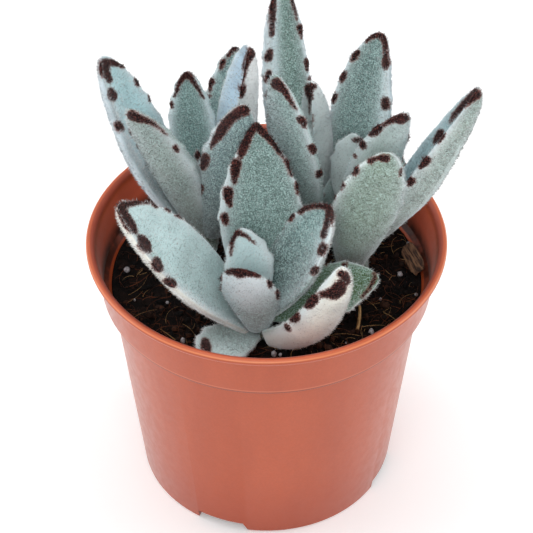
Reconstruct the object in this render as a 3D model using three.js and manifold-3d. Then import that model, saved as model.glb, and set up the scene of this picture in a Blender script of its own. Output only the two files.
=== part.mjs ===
import * as THREE from 'three';
import { mergeVertices } from 'three/addons/utils/BufferGeometryUtils.js';
import Module from 'manifold-3d';

// Panda plant (Kalanchoe tomentosa) in a round plastic nursery pot.
// Millimetres, +Z up. The origin is the centre of the pot's flat underside.

const wasm = await Module();
wasm.setup();

const GAP = 0.3;            // clear space between any two pieces
const LEAF_GAP = 0.45;      // the same round a leaf, whose faces are coarser

// Pot: a 12 cm thermoformed pot with a collar, a folded lip and a stepped underside.
const POT = {
  height: 99,
  lipRadius: 60,
  lipInner: 58.3,
  lipFold: 97,
  collarTop: 57.0,
  collarFoot: 55.6,
  collarHeight: 80,
  bodyTop: 52.4,
  bodyFoot: 44.1,
  wall: 1.0,
  padRadius: 22,
  channelInner: 24.5,
  channelOuter: 36.5,
  footInner: 38.5,
  channelRise: 3.0,
  collarWall: 0.8,           // the wall where it is drawn thinner, at the collar
  ledgeDrop: 1.2,            // how far the ledge's upper face starts below the collar
  ledgeRise: 2.0,            // and ends above it
  corner: 0.6,               // rounding of the corners
  fold: 0.8,                 // inset of the floor's folds on their upper face
  sides: 40,
};
// Notches in the foot: wide and slant are angles round the pot, reach is how far the cut goes
// in from a little outside the wall.
const NOTCH = { count: 4, first: -111.5, wide: 21.5, slant: 3, height: 3.8, reach: 5.2, outside: 1.7 };
const DRAIN = { count: 6, first: 30, radius: 3, ring: 30.5, deep: 8, sides: 10 };

// Potting soil: a filling of the pot with a low lumpy mound on top.
const SOIL = {
  edge: 80.0,
  mound: 81.6,
  shoulder: 78.9,            // height of its wall, at the foot of the ledge
  floor: 4.5,
  rings: [52.3, 47, 41, 34.5, 28, 21, 14, 7, 0],
  lump: 0.7,
  calmAtEdge: 0.6,           // share of the lumps' height that is lost at the wall
  sides: 40,
};

// Stems: foot on the soil's surface, tip under the youngest leaves.
const STEM = { buried: 16, footRadius: 4.6, tipRadius: 3.3, crown: 2, crownShare: 0.72, sides: 12 };
const STEMS = {
  a: { foot: [-2.5, -25.5, 80], tip: [-3, -21, 98] },
  b: { foot: [-21, 15, 80], tip: [-19, 16.5, 104] },
  c: { foot: [30, 3, 80], tip: [30, 5, 103] },
  d: { foot: [14, 12, 80], tip: [15.5, 14, 104] },
};

// Leaves, by stem. foot is where the leaf sits on its stem; facing is the heading seen from
// above; rise is the climb above level, at the foot and at the tip. long, wide and flesh are
// the blade's length, width and thickness; trough is how deep its upper face is hollowed; roll
// turns it about its own length. left and right are the teeth on its two edges, as shares of
// the length.
const LEAVES = [
  // front stem
  { name: 'leaf_a1', foot: [0, -29, 83], facing: -22, rise: [28, 84], long: 45.5, wide: 20.5,
    flesh: 10.5, trough: 2, roll: -28, left: [0.5, 0.7], right: [0.4, 0.56, 0.74, 0.88] },
  { name: 'leaf_a2', foot: [-3, -28, 84], facing: -130, rise: [88, 56], long: 35, wide: 18,
    flesh: 7, trough: 2, roll: 27, left: [0.54, 0.7], right: [0.55, 0.76] },
  { name: 'leaf_a3', foot: [-4, -29, 82.5], facing: -130, rise: [25, 18], long: 29, wide: 15,
    flesh: 6.5, trough: 1, roll: -10, left: [0.55, 0.78], right: [0.6, 0.82] },
  { name: 'leaf_a4', foot: [-5, -26, 84], facing: 198, rise: [60, 50], long: 74, wide: 26,
    flesh: 7.5, trough: 5, roll: -26, left: [0.62, 0.72, 0.84], right: [0.61, 0.7, 0.8] },
  { name: 'leaf_a5', foot: [0, -26.5, 90.5], facing: 10, rise: [71, 55], long: 45.5, wide: 23,
    flesh: 7, trough: 4, roll: 16, left: [0.56, 0.68, 0.8], right: [0.6, 0.74, 0.87] },
  { name: 'leaf_a6', foot: [-3.2, -26, 91], facing: 136, rise: [82, 70], long: 30, wide: 15,
    flesh: 5.5, trough: 1, roll: -30, left: [0.6, 0.8], right: [0.55, 0.76] },
  { name: 'leaf_a7', foot: [0, -23, 86], facing: 3, rise: [25, 15], long: 39, wide: 19,
    flesh: 5, trough: 1, roll: 24, left: [0.5, 0.74], right: [0.45, 0.7] },
  { name: 'leaf_a8', foot: [-1.2, -18.5, 84], facing: 101, rise: [86, 78], long: 70.5, wide: 26,
    flesh: 7.5, trough: 1.5, roll: -8, left: [0.52, 0.65, 0.78], right: [0.55, 0.67, 0.79],
    blunt: 0.85 },
  // left stem
  { name: 'leaf_b1', foot: [-24, 14, 91], facing: 184, rise: [68, 69], long: 77, wide: 25,
    flesh: 7, trough: 4, roll: -20, left: [0.6, 0.74, 0.88], right: [0.51, 0.64, 0.75, 0.86],
    blunt: 0.55 },
  { name: 'leaf_b2', foot: [-22.5, 13.5, 88.5], facing: -131, rise: [77, 57], long: 77, wide: 17,
    flesh: 7, trough: 1, roll: 24, left: [0.54, 0.68, 0.8], right: [0.5, 0.64, 0.77],
    blunt: 0.5 },
  { name: 'leaf_b3', foot: [-21, 18, 93], facing: 110, rise: [66, 81], long: 52, wide: 17,
    flesh: 6.5, trough: 1, roll: -35, left: [0.67, 0.79, 0.9], right: [0.7, 0.82] },
  { name: 'leaf_b4', foot: [-19, 18, 95], facing: 72, rise: [53, 65], long: 56, wide: 18,
    flesh: 6, trough: 1, roll: 0, left: [0.66, 0.77, 0.89], right: [0.6, 0.74, 0.86] },
  { name: 'leaf_b5', foot: [-16.5, 18, 97], facing: -2, rise: [90, 72], long: 67, wide: 21,
    flesh: 8, trough: 6, roll: 12, left: [0.6, 0.74, 0.87], right: [0.68, 0.81], blunt: 0.5 },
  { name: 'leaf_b6', foot: [-19, 14, 88], facing: -62, rise: [68, 73], long: 77, wide: 19,
    flesh: 7, trough: 1, roll: -46, left: [0.45, 0.6, 0.76], right: [0.34, 0.5, 0.63, 0.76] },
  { name: 'leaf_b7', foot: [-21, 14, 101], facing: -160, rise: [88, 84], long: 23, wide: 9,
    flesh: 4.5, trough: 0.5, roll: -8, left: [0.6, 0.8], right: [0.7] },
  { name: 'leaf_b8', foot: [-22, 18, 90], facing: 140, rise: [40, 45], long: 48, wide: 18,
    flesh: 7, trough: 2, roll: 0, left: [0.5, 0.65, 0.8], right: [0.57, 0.73] },
  { name: 'leaf_b9', foot: [-18, 18, 88], facing: 55, rise: [30, 38], long: 36, wide: 16,
    flesh: 6.5, trough: 2, roll: 0, left: [0.5, 0.7], right: [0.6, 0.8] },
  { name: 'leaf_b10', foot: [-24, 16, 85], facing: 172, rise: [14, 20], long: 21, wide: 13,
    flesh: 6, trough: 2, roll: 0, left: [0.55, 0.75], right: [0.6, 0.8] },
  { name: 'leaf_b11', foot: [-19, 16.5, 102.5], facing: 130, rise: [72, 84], long: 15, wide: 8,
    flesh: 4, trough: 0.5, roll: 0, left: [0.7], right: [0.6] },
  // right stem
  { name: 'leaf_c1', foot: [28, 1, 86], facing: -70, rise: [72, 67], long: 71, wide: 22,
    flesh: 8, trough: 1.5, roll: -12, left: [0.55, 0.7], right: [0.61, 0.73, 0.87], blunt: 0.5 },
  { name: 'leaf_c2', foot: [31, 2, 95], facing: -53, rise: [90, 57], long: 70, wide: 17,
    flesh: 7, trough: 1, roll: -24, left: [0.55, 0.75], right: [0.6, 0.71, 0.84] },
  { name: 'leaf_c3', foot: [33, 4, 97], facing: -20, rise: [67, 60], long: 76.5, wide: 20.5,
    flesh: 8, trough: 6, roll: 2, left: [0.55, 0.7, 0.84], right: [0.5, 0.62, 0.76],
    blunt: 0.5 },
  { name: 'leaf_c4', foot: [30.2, 6.5, 96], facing: 32, rise: [98, 72], long: 79, wide: 25.5,
    flesh: 7, trough: 2.5, roll: 11, left: [0.6, 0.72, 0.84], right: [0.62, 0.76, 0.9] },
  { name: 'leaf_c5', foot: [28.4, 3.9, 102], facing: 63, rise: [87, 94], long: 37, wide: 16,
    flesh: 5, trough: 1, roll: 4, left: [0.65, 0.82], right: [0.6, 0.78] },
  { name: 'leaf_c6', foot: [31, 6, 90], facing: 60, rise: [25, 32], long: 34, wide: 17,
    flesh: 7, trough: 2, roll: 0, left: [0.5, 0.7], right: [0.6, 0.8] },
  { name: 'leaf_c7', foot: [30, 4.5, 101.5], facing: -110, rise: [74, 86], long: 15, wide: 8,
    flesh: 4, trough: 0.5, roll: 0, left: [0.7], right: [0.6] },
  // middle stem
  { name: 'leaf_d1', foot: [14, 15, 95], facing: 122, rise: [68, 88], long: 85, wide: 19,
    flesh: 7, trough: 2, roll: 8, left: [0.66, 0.74, 0.82, 0.9], right: [0.54, 0.62, 0.79],
    blunt: 0.5 },
  { name: 'leaf_d2', foot: [15, 10, 94], facing: -124, rise: [78, 72], long: 79, wide: 20,
    flesh: 7, trough: 1, roll: -10, left: [0.46, 0.62, 0.79], right: [0.5, 0.65, 0.8],
    blunt: 0.5 },
  { name: 'leaf_d3', foot: [14, 14, 99], facing: 15, rise: [94, 86], long: 53, wide: 14,
    flesh: 7, trough: 6, roll: 2, left: [0.6, 0.78], right: [0.55, 0.72] },
  { name: 'leaf_d4', foot: [17, 14, 98], facing: -45, rise: [55, 85], long: 20, wide: 10,
    flesh: 4.5, trough: 1, roll: 0, left: [0.6, 0.8], right: [0.7] },
  { name: 'leaf_d5', foot: [16, 15, 92], facing: 85, rise: [36, 42], long: 40, wide: 17,
    flesh: 7, trough: 2, roll: 0, left: [0.5, 0.65, 0.8], right: [0.57, 0.73] },
  { name: 'leaf_d6', foot: [12, 14, 94], facing: 150, rise: [48, 60], long: 42, wide: 16,
    flesh: 6.5, trough: 2, roll: 0, left: [0.5, 0.65, 0.8], right: [0.57, 0.73] },
  { name: 'leaf_d7', foot: [15.5, 13.5, 102.5], facing: 175, rise: [74, 86], long: 16, wide: 8,
    flesh: 4, trough: 0.5, roll: 0, left: [0.7], right: [0.6] },
];
const BLADE = {
  widest: 0.5,               // share of the length where the blade is widest
  footShare: 0.42,           // width at the foot, as a share of the full width
  opening: 1.15,             // the power on the sine that widens it from the foot
  blunt: 0.6,                // roundness of the tip: the power on the closing cosine
  footRound: 0.04,           // share of the length over which the foot rounds off
  upper: 0.34,               // crown of the upper face, as a share of the flesh
  dip: 0.22,                 // flattening of that crown along the middle
  lower: 0.66,               // depth of the keel, as a share of the flesh
  swell: 0.28,               // how much thicker the blade is at swellAt than at its ends
  swellAt: 0.35,
  thinning: 0.34,            // how much of that thickness is lost from there to the tip
  tooth: 0.7,                // height of a tooth
  toothReach: 2.6,           // half its length along the edge
};
const SECTION = [0, 48, 90, 132, 180, 228, 270, 312];   // degrees round the blade from its left edge
const ROOT_STATIONS = [0, 0.012, 0.04, 0.16, 0.3];
const TIP_STATIONS = [0.955, 0.985, 1];
const STATION_MERGE = 0.028;  // teeth nearer each other than this share a station
const EDGE_SPARE = 1.5;       // an edge's clear space, as a share of a face's
const SIDE_SPARE = 0.3;       // the sideways part of a face's

const BARK = { at: [50.3, 7.2, 81.4], long: 16, wide: 7, thick: 1.8, tilt: -36, turn: 108,
  corners: 7, uneven: 0.16 };
const STRAW = { foot: [29.8, -27, 81.4], lean: [0.9, 7.5, 3.6], radius: 0.6, sides: 6 };

const COLOUR = {
  pot: 0xc2674f,
  soil: 0x2a1d17,
  stem: 0x8a9a78,
  leaf: 0x9fb8ad,
  bark: 0x6a4a36,
  straw: 0xb08a55,
};

const rad = THREE.MathUtils.degToRad;
const clamp = THREE.MathUtils.clamp;

// A closed three.js geometry as a solid for cutting and joining.
function toSolid(geometry) {
  const bare = geometry.clone();
  bare.deleteAttribute('normal');
  bare.deleteAttribute('uv');
  const merged = mergeVertices(bare, 1e-4);
  const vertProperties = new Float32Array(merged.attributes.position.array);
  const triVerts = new Uint32Array(merged.index.array);
  return new wasm.Manifold(new wasm.Mesh({ numProp: 3, vertProperties, triVerts }));
}

// A closed geometry with its skin moved outwards, as the space that a piece keeps clear.
function grown(geometry, amount) {
  const bare = geometry.clone();
  bare.deleteAttribute('normal');
  bare.deleteAttribute('uv');
  const merged = mergeVertices(bare, 1e-4);
  merged.computeVertexNormals();
  const { position, normal } = merged.attributes;
  for (let i = 0; i < position.count; i += 1) {
    const moved = new THREE.Vector3().fromBufferAttribute(position, i);
    moved.addScaledVector(new THREE.Vector3().fromBufferAttribute(normal, i), amount);
    position.setXYZ(i, moved.x, moved.y, moved.z);
  }
  return merged;
}

// The largest body of a solid, back as a three.js geometry.
function toGeometry(solid) {
  const bodies = solid.decompose();
  bodies.sort((one, two) => two.volume() - one.volume());
  const mesh = bodies[0].getMesh();
  const geometry = new THREE.BufferGeometry();
  geometry.setAttribute('position', new THREE.BufferAttribute(mesh.vertProperties, 3));
  geometry.setIndex(new THREE.BufferAttribute(mesh.triVerts, 1));
  geometry.computeVertexNormals();
  return geometry;
}

function turned(profile, sides) {
  const points = profile.map(([r, z]) => new THREE.Vector2(r, z));
  return new THREE.LatheGeometry(points, sides).rotateX(Math.PI / 2);
}

// Repeatable lumps for the soil: a sum of waves over the plan.
function lumps(x, y) {
  const broad = Math.sin(x * 0.31 + 1.7) * Math.cos(y * 0.27 - 0.6);
  const fine = Math.sin(x * 0.83 - y * 0.41) * Math.cos(y * 0.71 + x * 0.23 + 2.1);
  return 0.6 * broad + 0.4 * fine;
}

// Radius of the pot's inner face at a height, from its floor up to the ledge.
function innerRadius(height) {
  const foot = POT.bodyFoot - POT.wall;
  const top = POT.bodyTop - POT.collarWall;
  const share = (height - POT.wall) / (POT.collarHeight - POT.ledgeDrop - POT.wall);
  return foot + (top - foot) * share;
}

function makePot() {
  const p = POT;
  const c = p.corner;
  const shell = turned([
    [0, 0],
    [p.padRadius, 0],
    [p.channelInner, p.channelRise],
    [p.channelOuter, p.channelRise],
    [p.footInner, 0],
    [p.bodyFoot - c, 0],
    [p.bodyFoot, c],
    [p.bodyTop, p.collarHeight - c],
    [p.collarFoot - c, p.collarHeight],
    [p.collarFoot, p.collarHeight + c],
    [p.collarTop, p.lipFold - c],
    [p.lipRadius - c / 2, p.lipFold],
    [p.lipRadius, p.lipFold + c],
    [p.lipRadius, p.height - c],
    [p.lipRadius - c, p.height],
    [p.lipInner + c / 2, p.height],
    [p.lipInner - c, p.height - c],
    [p.collarTop - p.collarWall, p.lipFold - c],
    [p.collarFoot - p.collarWall, p.collarHeight + p.ledgeRise],
    [p.bodyTop - p.collarWall, p.collarHeight - p.ledgeDrop],
    [p.bodyFoot - p.wall, p.wall + c],
    [p.bodyFoot - p.wall - c, p.wall],
    [p.footInner + p.fold, p.wall],
    [p.channelOuter + p.fold, p.channelRise + p.wall],
    [p.channelInner - p.fold, p.channelRise + p.wall],
    [p.padRadius - p.fold, p.wall],
    [0, p.wall],
  ], p.sides);
  let pot = toSolid(shell);
  for (let i = 0; i < NOTCH.count; i += 1) {
    pot = pot.subtract(toSolid(notchBlock(NOTCH.first + i * 360 / NOTCH.count)));
  }
  for (let i = 0; i < DRAIN.count; i += 1) {
    const angle = rad(DRAIN.first + i * 360 / DRAIN.count);
    const drill = new THREE.CylinderGeometry(DRAIN.radius, DRAIN.radius, DRAIN.deep, DRAIN.sides);
    drill.rotateX(Math.PI / 2);
    drill.translate(DRAIN.ring * Math.cos(angle), DRAIN.ring * Math.sin(angle), p.channelRise);
    pot = pot.subtract(toSolid(drill));
  }
  return toGeometry(pot);
}

// The block that cuts one foot notch: one side upright, the other slanted out at the foot.
function notchBlock(middle) {
  const radius = POT.bodyFoot;
  const half = radius * Math.tan(rad(NOTCH.wide / 2));
  const slant = radius * rad(NOTCH.slant);
  const shape = new THREE.Shape([
    new THREE.Vector2(-half, -1),
    new THREE.Vector2(half + slant, -1),
    new THREE.Vector2(half, NOTCH.height),
    new THREE.Vector2(-half, NOTCH.height),
  ]);
  const block = new THREE.ExtrudeGeometry(shape, { depth: NOTCH.reach, bevelEnabled: false });
  block.rotateX(Math.PI / 2);
  block.rotateZ(Math.PI / 2);
  block.translate(radius + NOTCH.outside - NOTCH.reach, 0, 0);
  return block.rotateZ(rad(middle));
}

// The soil's surface height above a point in plan.
function soilHeight(x, y) {
  const out = clamp(Math.hypot(x, y) / SOIL.rings[0], 0, 1);
  const swell = (SOIL.mound - SOIL.edge) * (1 - out * out);
  return SOIL.edge + swell + SOIL.lump * lumps(x, y) * (1 - SOIL.calmAtEdge * out ** 4);
}

function makeSoil(taken) {
  const bed = turned([
    [0, SOIL.floor],
    [innerRadius(SOIL.floor) - GAP, SOIL.floor],
    [innerRadius(SOIL.shoulder) - GAP, SOIL.shoulder],
    ...SOIL.rings.map((r) => [r, SOIL.edge]),
  ], SOIL.sides);
  const place = bed.attributes.position;
  for (let i = 0; i < place.count; i += 1) {
    if (place.getZ(i) > SOIL.shoulder + GAP) {
      place.setZ(i, soilHeight(place.getX(i), place.getY(i)));
    }
  }
  return toGeometry(toSolid(bed).subtract(taken));
}

// A stem is a tapered round rod from below the soil to its tip, with a rounded end.
function stemBlank(stem) {
  const foot = new THREE.Vector3(...stem.foot);
  const tip = new THREE.Vector3(...stem.tip);
  const run = tip.clone().sub(foot);
  const long = run.length();
  const rod = turned([
    [0, -STEM.buried],
    [STEM.footRadius, -STEM.buried],
    [STEM.footRadius, 0],
    [STEM.tipRadius, long - STEM.crown],
    [STEM.tipRadius * STEM.crownShare, long - STEM.crown * (1 - STEM.crownShare)],
    [0, long],
  ], STEM.sides);
  const upright = new THREE.Vector3(0, 0, 1);
  rod.applyQuaternion(new THREE.Quaternion().setFromUnitVectors(upright, run.normalize()));
  return rod.translate(foot.x, foot.y, foot.z);
}

// Half width of a blade along its length, as a share of its greatest half width.
function breadth(s, blunt) {
  if (s < BLADE.widest) {
    const open = Math.sin(Math.PI / 2 * s / BLADE.widest) ** BLADE.opening;
    return BLADE.footShare + (1 - BLADE.footShare) * open;
  }
  const close = (s - BLADE.widest) / (1 - BLADE.widest);
  return Math.cos(Math.PI / 2 * close) ** blunt;
}

// Thickness along the length, as a share of the flesh.
function fullness(s) {
  const { swell, swellAt, thinning } = BLADE;
  const wave = Math.sin(Math.PI / 2 * Math.min(s / swellAt, 2));
  const past = Math.max(s - swellAt, 0) / (1 - swellAt);
  const roundTip = Math.sqrt(Math.max(1 - s ** 7, 0));
  return (1 - swell + swell * wave) * (1 - thinning * past ** 1.5) * roundTip;
}

function tooth(s, long, teeth) {
  let high = 0;
  for (const at of teeth) {
    const away = Math.abs(s - at) * long / BLADE.toothReach;
    high = Math.max(high, BLADE.tooth * (1 - away));
  }
  return high;
}

// A point on the skin of a leaf: s along it, angle round it from the left edge. spare moves the
// two faces apart, the edges outwards and the ends along, for the space that a leaf keeps clear.
// The edges of a troughed leaf stand up at the angle flare, so they move that way.
function leafPoint(leaf, s, angle, spare) {
  const [rise0, rise1] = leaf.rise.map(rad);
  const climb = rise0 + (rise1 - rise0) * s;
  const bend = (rise1 - rise0) / leaf.long;
  const out = (Math.sin(climb) - Math.sin(rise0)) / bend;
  const up = (Math.cos(rise0) - Math.cos(climb)) / bend;
  const facing = rad(leaf.facing);
  const [c, n] = [Math.cos(facing), Math.sin(facing)];
  const along = new THREE.Vector3(Math.cos(climb) * c, Math.cos(climb) * n, Math.sin(climb));
  const across = new THREE.Vector3(-n, c, 0);
  const above = new THREE.Vector3().crossVectors(along, across);
  const roll = rad(leaf.roll);
  const left = across.clone().multiplyScalar(Math.cos(roll)).addScaledVector(above, Math.sin(roll));
  const over = above.clone().multiplyScalar(Math.cos(roll)).addScaledVector(across, -Math.sin(roll));

  const closing = Math.sqrt(1 - Math.max(1 - s / BLADE.footRound, 0) ** 2);
  const shape = breadth(s, leaf.blunt ?? BLADE.blunt) * closing;
  const [ca, sa] = [Math.cos(angle), Math.sin(angle)];
  const flesh = leaf.flesh * fullness(s) * closing;
  const atEnd = s === 0 || s === 1;
  const onEdge = Math.abs(ca) > 0.99;
  const teeth = ca > 0 ? leaf.left : leaf.right;
  const edge = onEdge && s < 1 ? tooth(s, leaf.long, teeth) : 0;
  const side = (leaf.wide / 2 * shape + edge) * ca;
  const crown = BLADE.upper * sa - BLADE.dip * sa * sa;
  const depth = flesh * (sa > 0 ? crown : BLADE.lower * sa) - leaf.trough * shape * sa * sa;

  const flare = Math.atan2(0.55 * leaf.trough, 0.33 * leaf.wide / 2);
  let wider = SIDE_SPARE * spare * ca;
  let deeper = spare * Math.sign(sa);
  let longer = 0;
  if (onEdge) {
    wider = EDGE_SPARE * spare * Math.cos(flare) * ca;
    deeper = EDGE_SPARE * spare * Math.sin(flare);
  }
  if (atEnd) {
    wider = 0;
    deeper = 0;
    longer = spare * Math.sign(s - 0.5);
  }
  return new THREE.Vector3(leaf.foot[0] + out * c, leaf.foot[1] + out * n, leaf.foot[2] + up)
    .addScaledVector(left, side + wider)
    .addScaledVector(over, depth + deeper)
    .addScaledVector(along, longer);
}

// Places along a leaf where its section is drawn: every tooth and the hollow between two.
function stations(leaf) {
  const teeth = [...leaf.left, ...leaf.right].sort((one, two) => one - two);
  const marks = teeth.filter((at, i) => i === 0 || at - teeth[i - 1] > STATION_MERGE);
  const hollows = marks.slice(1).map((at, i) => (at + marks[i]) / 2)
    .filter((at, i) => marks[i + 1] - marks[i] > 2 * STATION_MERGE);
  const root = ROOT_STATIONS.filter((at) => at < marks[0] - 0.05);
  const lead = (root.at(-1) + marks[0]) / 2;
  return [...root, lead, ...marks, ...hollows, ...TIP_STATIONS].sort((one, two) => one - two);
}

// A leaf is a ball whose rows and columns are laid over the blade's skin.
function leafBlank(leaf, spare) {
  const places = stations(leaf);
  const blank = new THREE.SphereGeometry(1, SECTION.length, places.length - 1);
  const { position, uv } = blank.attributes;
  for (let i = 0; i < position.count; i += 1) {
    const row = Math.round(uv.getY(i) * (places.length - 1));
    const atEnd = row === 0 || row === places.length - 1;
    const column = atEnd ? 0 : Math.round(uv.getX(i) * SECTION.length) % SECTION.length;
    const point = leafPoint(leaf, places[row], rad(SECTION[column]), spare);
    position.setXYZ(i, point.x, point.y, point.z);
  }
  return blank;
}

// A chip of bark: a flat slab with an uneven outline.
function makeBark() {
  const corners = [];
  for (let i = 0; i < BARK.corners; i += 1) {
    const angle = i / BARK.corners * 2 * Math.PI;
    const uneven = 1 + BARK.uneven * Math.sin(i * 2.3 + 0.8);
    const x = BARK.long / 2 * Math.cos(angle) * uneven;
    const y = BARK.wide / 2 * Math.sin(angle) * uneven;
    corners.push(new THREE.Vector2(x, y));
  }
  const outline = new THREE.Shape(corners);
  const slab = new THREE.ExtrudeGeometry(outline, { depth: BARK.thick, bevelEnabled: false });
  slab.rotateX(rad(BARK.tilt));
  slab.rotateZ(rad(BARK.turn));
  return slab.translate(...BARK.at);
}

// A bit of straw lying up against the soil.
function makeStraw() {
  const foot = new THREE.Vector3(...STRAW.foot);
  const run = new THREE.Vector3(...STRAW.lean);
  const rod = new THREE.CylinderGeometry(STRAW.radius, STRAW.radius, run.length(), STRAW.sides);
  const upright = new THREE.Vector3(0, 1, 0);
  rod.applyQuaternion(new THREE.Quaternion().setFromUnitVectors(upright, run.clone().normalize()));
  const middle = foot.addScaledVector(run, 0.5);
  return rod.translate(middle.x, middle.y, middle.z);
}

const group = new THREE.Group();

function add(name, geometry, colour, roughness) {
  const material = new THREE.MeshStandardMaterial({ color: colour, roughness, metalness: 0 });
  const mesh = new THREE.Mesh(geometry, material);
  mesh.name = name;
  group.add(mesh);
}

add('pot', makePot(), COLOUR.pot, 0.5);

// Stems come first, and each leaf is cut clear of the stems and of the leaves before it.
const spaces = [];
for (const [name, stem] of Object.entries(STEMS)) {
  const rod = stemBlank(stem);
  add(`stem_${name}`, toGeometry(toSolid(rod)), COLOUR.stem, 0.85);
  spaces.push(toSolid(grown(rod, GAP)));
}
let taken = spaces.reduce((all, one) => all.add(one));
for (const leaf of LEAVES) {
  const blade = toSolid(leafBlank(leaf, 0)).subtract(taken);
  add(leaf.name, toGeometry(blade), COLOUR.leaf, 0.9);
  taken = taken.add(toSolid(leafBlank(leaf, LEAF_GAP)));
}

// The soil is pressed in under what lies on it, and holds the stems in plain holes.
const bark = makeBark();
const straw = makeStraw();
add('bark_chip', bark, COLOUR.bark, 0.95);
add('straw', straw, COLOUR.straw, 0.9);
taken = taken.add(toSolid(grown(bark, GAP))).add(toSolid(grown(straw, GAP)));
add('soil', makeSoil(taken), COLOUR.soil, 0.95);

export default group;
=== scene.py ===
import math

import bmesh
import bpy
import numpy as np
from mathutils import Matrix, Vector, noise
from mathutils.bvhtree import BVHTree


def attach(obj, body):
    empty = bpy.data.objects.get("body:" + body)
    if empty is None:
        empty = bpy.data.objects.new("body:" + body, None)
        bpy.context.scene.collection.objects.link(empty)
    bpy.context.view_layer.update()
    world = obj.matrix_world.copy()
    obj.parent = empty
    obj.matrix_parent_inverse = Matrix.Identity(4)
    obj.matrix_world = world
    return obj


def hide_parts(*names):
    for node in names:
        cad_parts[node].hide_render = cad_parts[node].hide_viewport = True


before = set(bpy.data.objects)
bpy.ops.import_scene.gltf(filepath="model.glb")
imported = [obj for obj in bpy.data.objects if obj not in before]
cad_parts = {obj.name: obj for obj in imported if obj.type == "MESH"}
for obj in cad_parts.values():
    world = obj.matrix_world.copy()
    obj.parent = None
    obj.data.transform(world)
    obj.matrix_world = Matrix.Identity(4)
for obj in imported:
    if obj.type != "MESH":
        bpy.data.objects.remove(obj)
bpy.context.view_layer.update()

# A panda plant in a 12 cm plastic nursery pot. Lengths are in millimetres until a mesh is
# written, and metres from there on. The pot stands on z = 0.

MM = 0.001
UP = Vector((0, 0, 1))


def paint(red, green, blue):
    """A linear colour from the three values that a screen shows, 0 to 255."""
    shares = np.array([red, green, blue]) / 255
    return np.where(shares < 0.04, shares / 12.92, ((shares + 0.055) / 1.055) ** 2.4)


# ---------------------------------------------------------------- camera, light and floor

CAMERA_PLACE = (0, -0.52266, 0.5589)
CAMERA_PITCH = math.radians(47.79)       # up from straight down
CAMERA_LENS = 141.5
LAMP_AIM = (0, 0, 0.1)
LAMPS = {
    "overhead": dict(place=(-0.15, 0.25, 1.1), size=1.2, power=4.5),
    "left_side": dict(place=(-1.0, 0.2, 0.75), size=1.0, power=4.5),
    "right_side": dict(place=(1.0, 0.2, 0.75), size=1.0, power=5.5),
    "front": dict(place=(-0.15, -1.0, 0.95), size=1.2, power=6),
}
SKY_COLOUR, SKY_STRENGTH = (0.95, 0.98, 1.0, 1), 0.42
FLOOR_HALF = 3                           # metres
FLOOR_GLOW = 0.18


def add_object(name, data):
    made = bpy.data.objects.new(name, data)
    bpy.context.scene.collection.objects.link(made)
    return made


def set_camera():
    camera = add_object("camera", bpy.data.cameras.new("camera"))
    camera.data.lens = CAMERA_LENS
    camera.location = CAMERA_PLACE
    camera.rotation_euler = (CAMERA_PITCH, 0, 0)
    bpy.context.scene.camera = camera


def set_light():
    scene = bpy.context.scene
    scene.view_settings.view_transform = "Standard"
    scene.world = bpy.data.worlds.new("studio")
    scene.world.use_nodes = True
    sky = scene.world.node_tree.nodes["Background"]
    sky.inputs["Color"].default_value = SKY_COLOUR
    sky.inputs["Strength"].default_value = SKY_STRENGTH
    for name, box in LAMPS.items():
        lamp = add_object(name, bpy.data.lights.new(name, "AREA"))
        lamp.data.shape = "DISK"
        lamp.data.size = box["size"]
        lamp.data.energy = box["power"]
        lamp.location = box["place"]
        away = Vector(box["place"]) - Vector(LAMP_AIM)
        lamp.rotation_euler = away.to_track_quat("Z", "Y").to_euler()


def add_floor():
    bm = bmesh.new()
    bmesh.ops.create_grid(bm, x_segments=4, y_segments=4, size=FLOOR_HALF)
    floor = add_object("floor", built("floor", bm))
    material, shader, _ = new_material("pale_floor", paint(250, 250, 250), 0.9)
    shader.inputs["Emission Color"].default_value = (1, 1, 1, 1)
    shader.inputs["Emission Strength"].default_value = FLOOR_GLOW
    floor.data.materials.append(material)


# ---------------------------------------------------------------- material helpers

SHADER_SOCKETS = {"specular": "Specular IOR Level", "sheen": "Sheen Weight",
                  "sheen_roughness": "Sheen Roughness", "sheen_tint": "Sheen Tint"}


def new_material(name, colour, roughness, **settings):
    """A material, its shader and a function that adds a node and joins its sockets."""
    material = bpy.data.materials.new(name)
    material.use_nodes = True
    tree = material.node_tree
    shader = tree.nodes["Principled BSDF"]
    shader.inputs["Base Color"].default_value = (*colour, 1)
    shader.inputs["Roughness"].default_value = roughness
    for setting, value in settings.items():
        shader.inputs[SHADER_SOCKETS[setting]].default_value = value

    def node(kind, settings=None, **sockets):
        made = tree.nodes.new(kind)
        for key, value in (settings or {}).items():
            setattr(made, key, value)
        for key, value in sockets.items():
            feed(made, key, value)
        return made

    def feed(made, key, value):
        if isinstance(value, bpy.types.NodeSocket):
            tree.links.new(value, made.inputs[key])
        else:
            made.inputs[key].default_value = value

    def join(out, target):
        tree.links.new(out, shader.inputs[target])

    node.join = join
    node.feed = feed
    return material, shader, node


def object_place(node):
    return node("ShaderNodeTexCoord").outputs["Object"]


def attribute(node, name, out="Color"):
    """Values written on the mesh under this name."""
    return node("ShaderNodeAttribute", {"attribute_name": name}).outputs[out]


def grain(node, size, detail=2.0, stretch=None, where=None):
    """Noise over the object with features of about this size in millimetres."""
    where = where or object_place(node)
    if stretch:
        scaled = node("ShaderNodeMapping", Vector=where)
        scaled.inputs["Scale"].default_value = stretch
        where = scaled.outputs["Vector"]
    made = node("ShaderNodeTexNoise", Vector=where, Scale=1 / (size * MM), Detail=detail)
    return made.outputs["Fac"]


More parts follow.
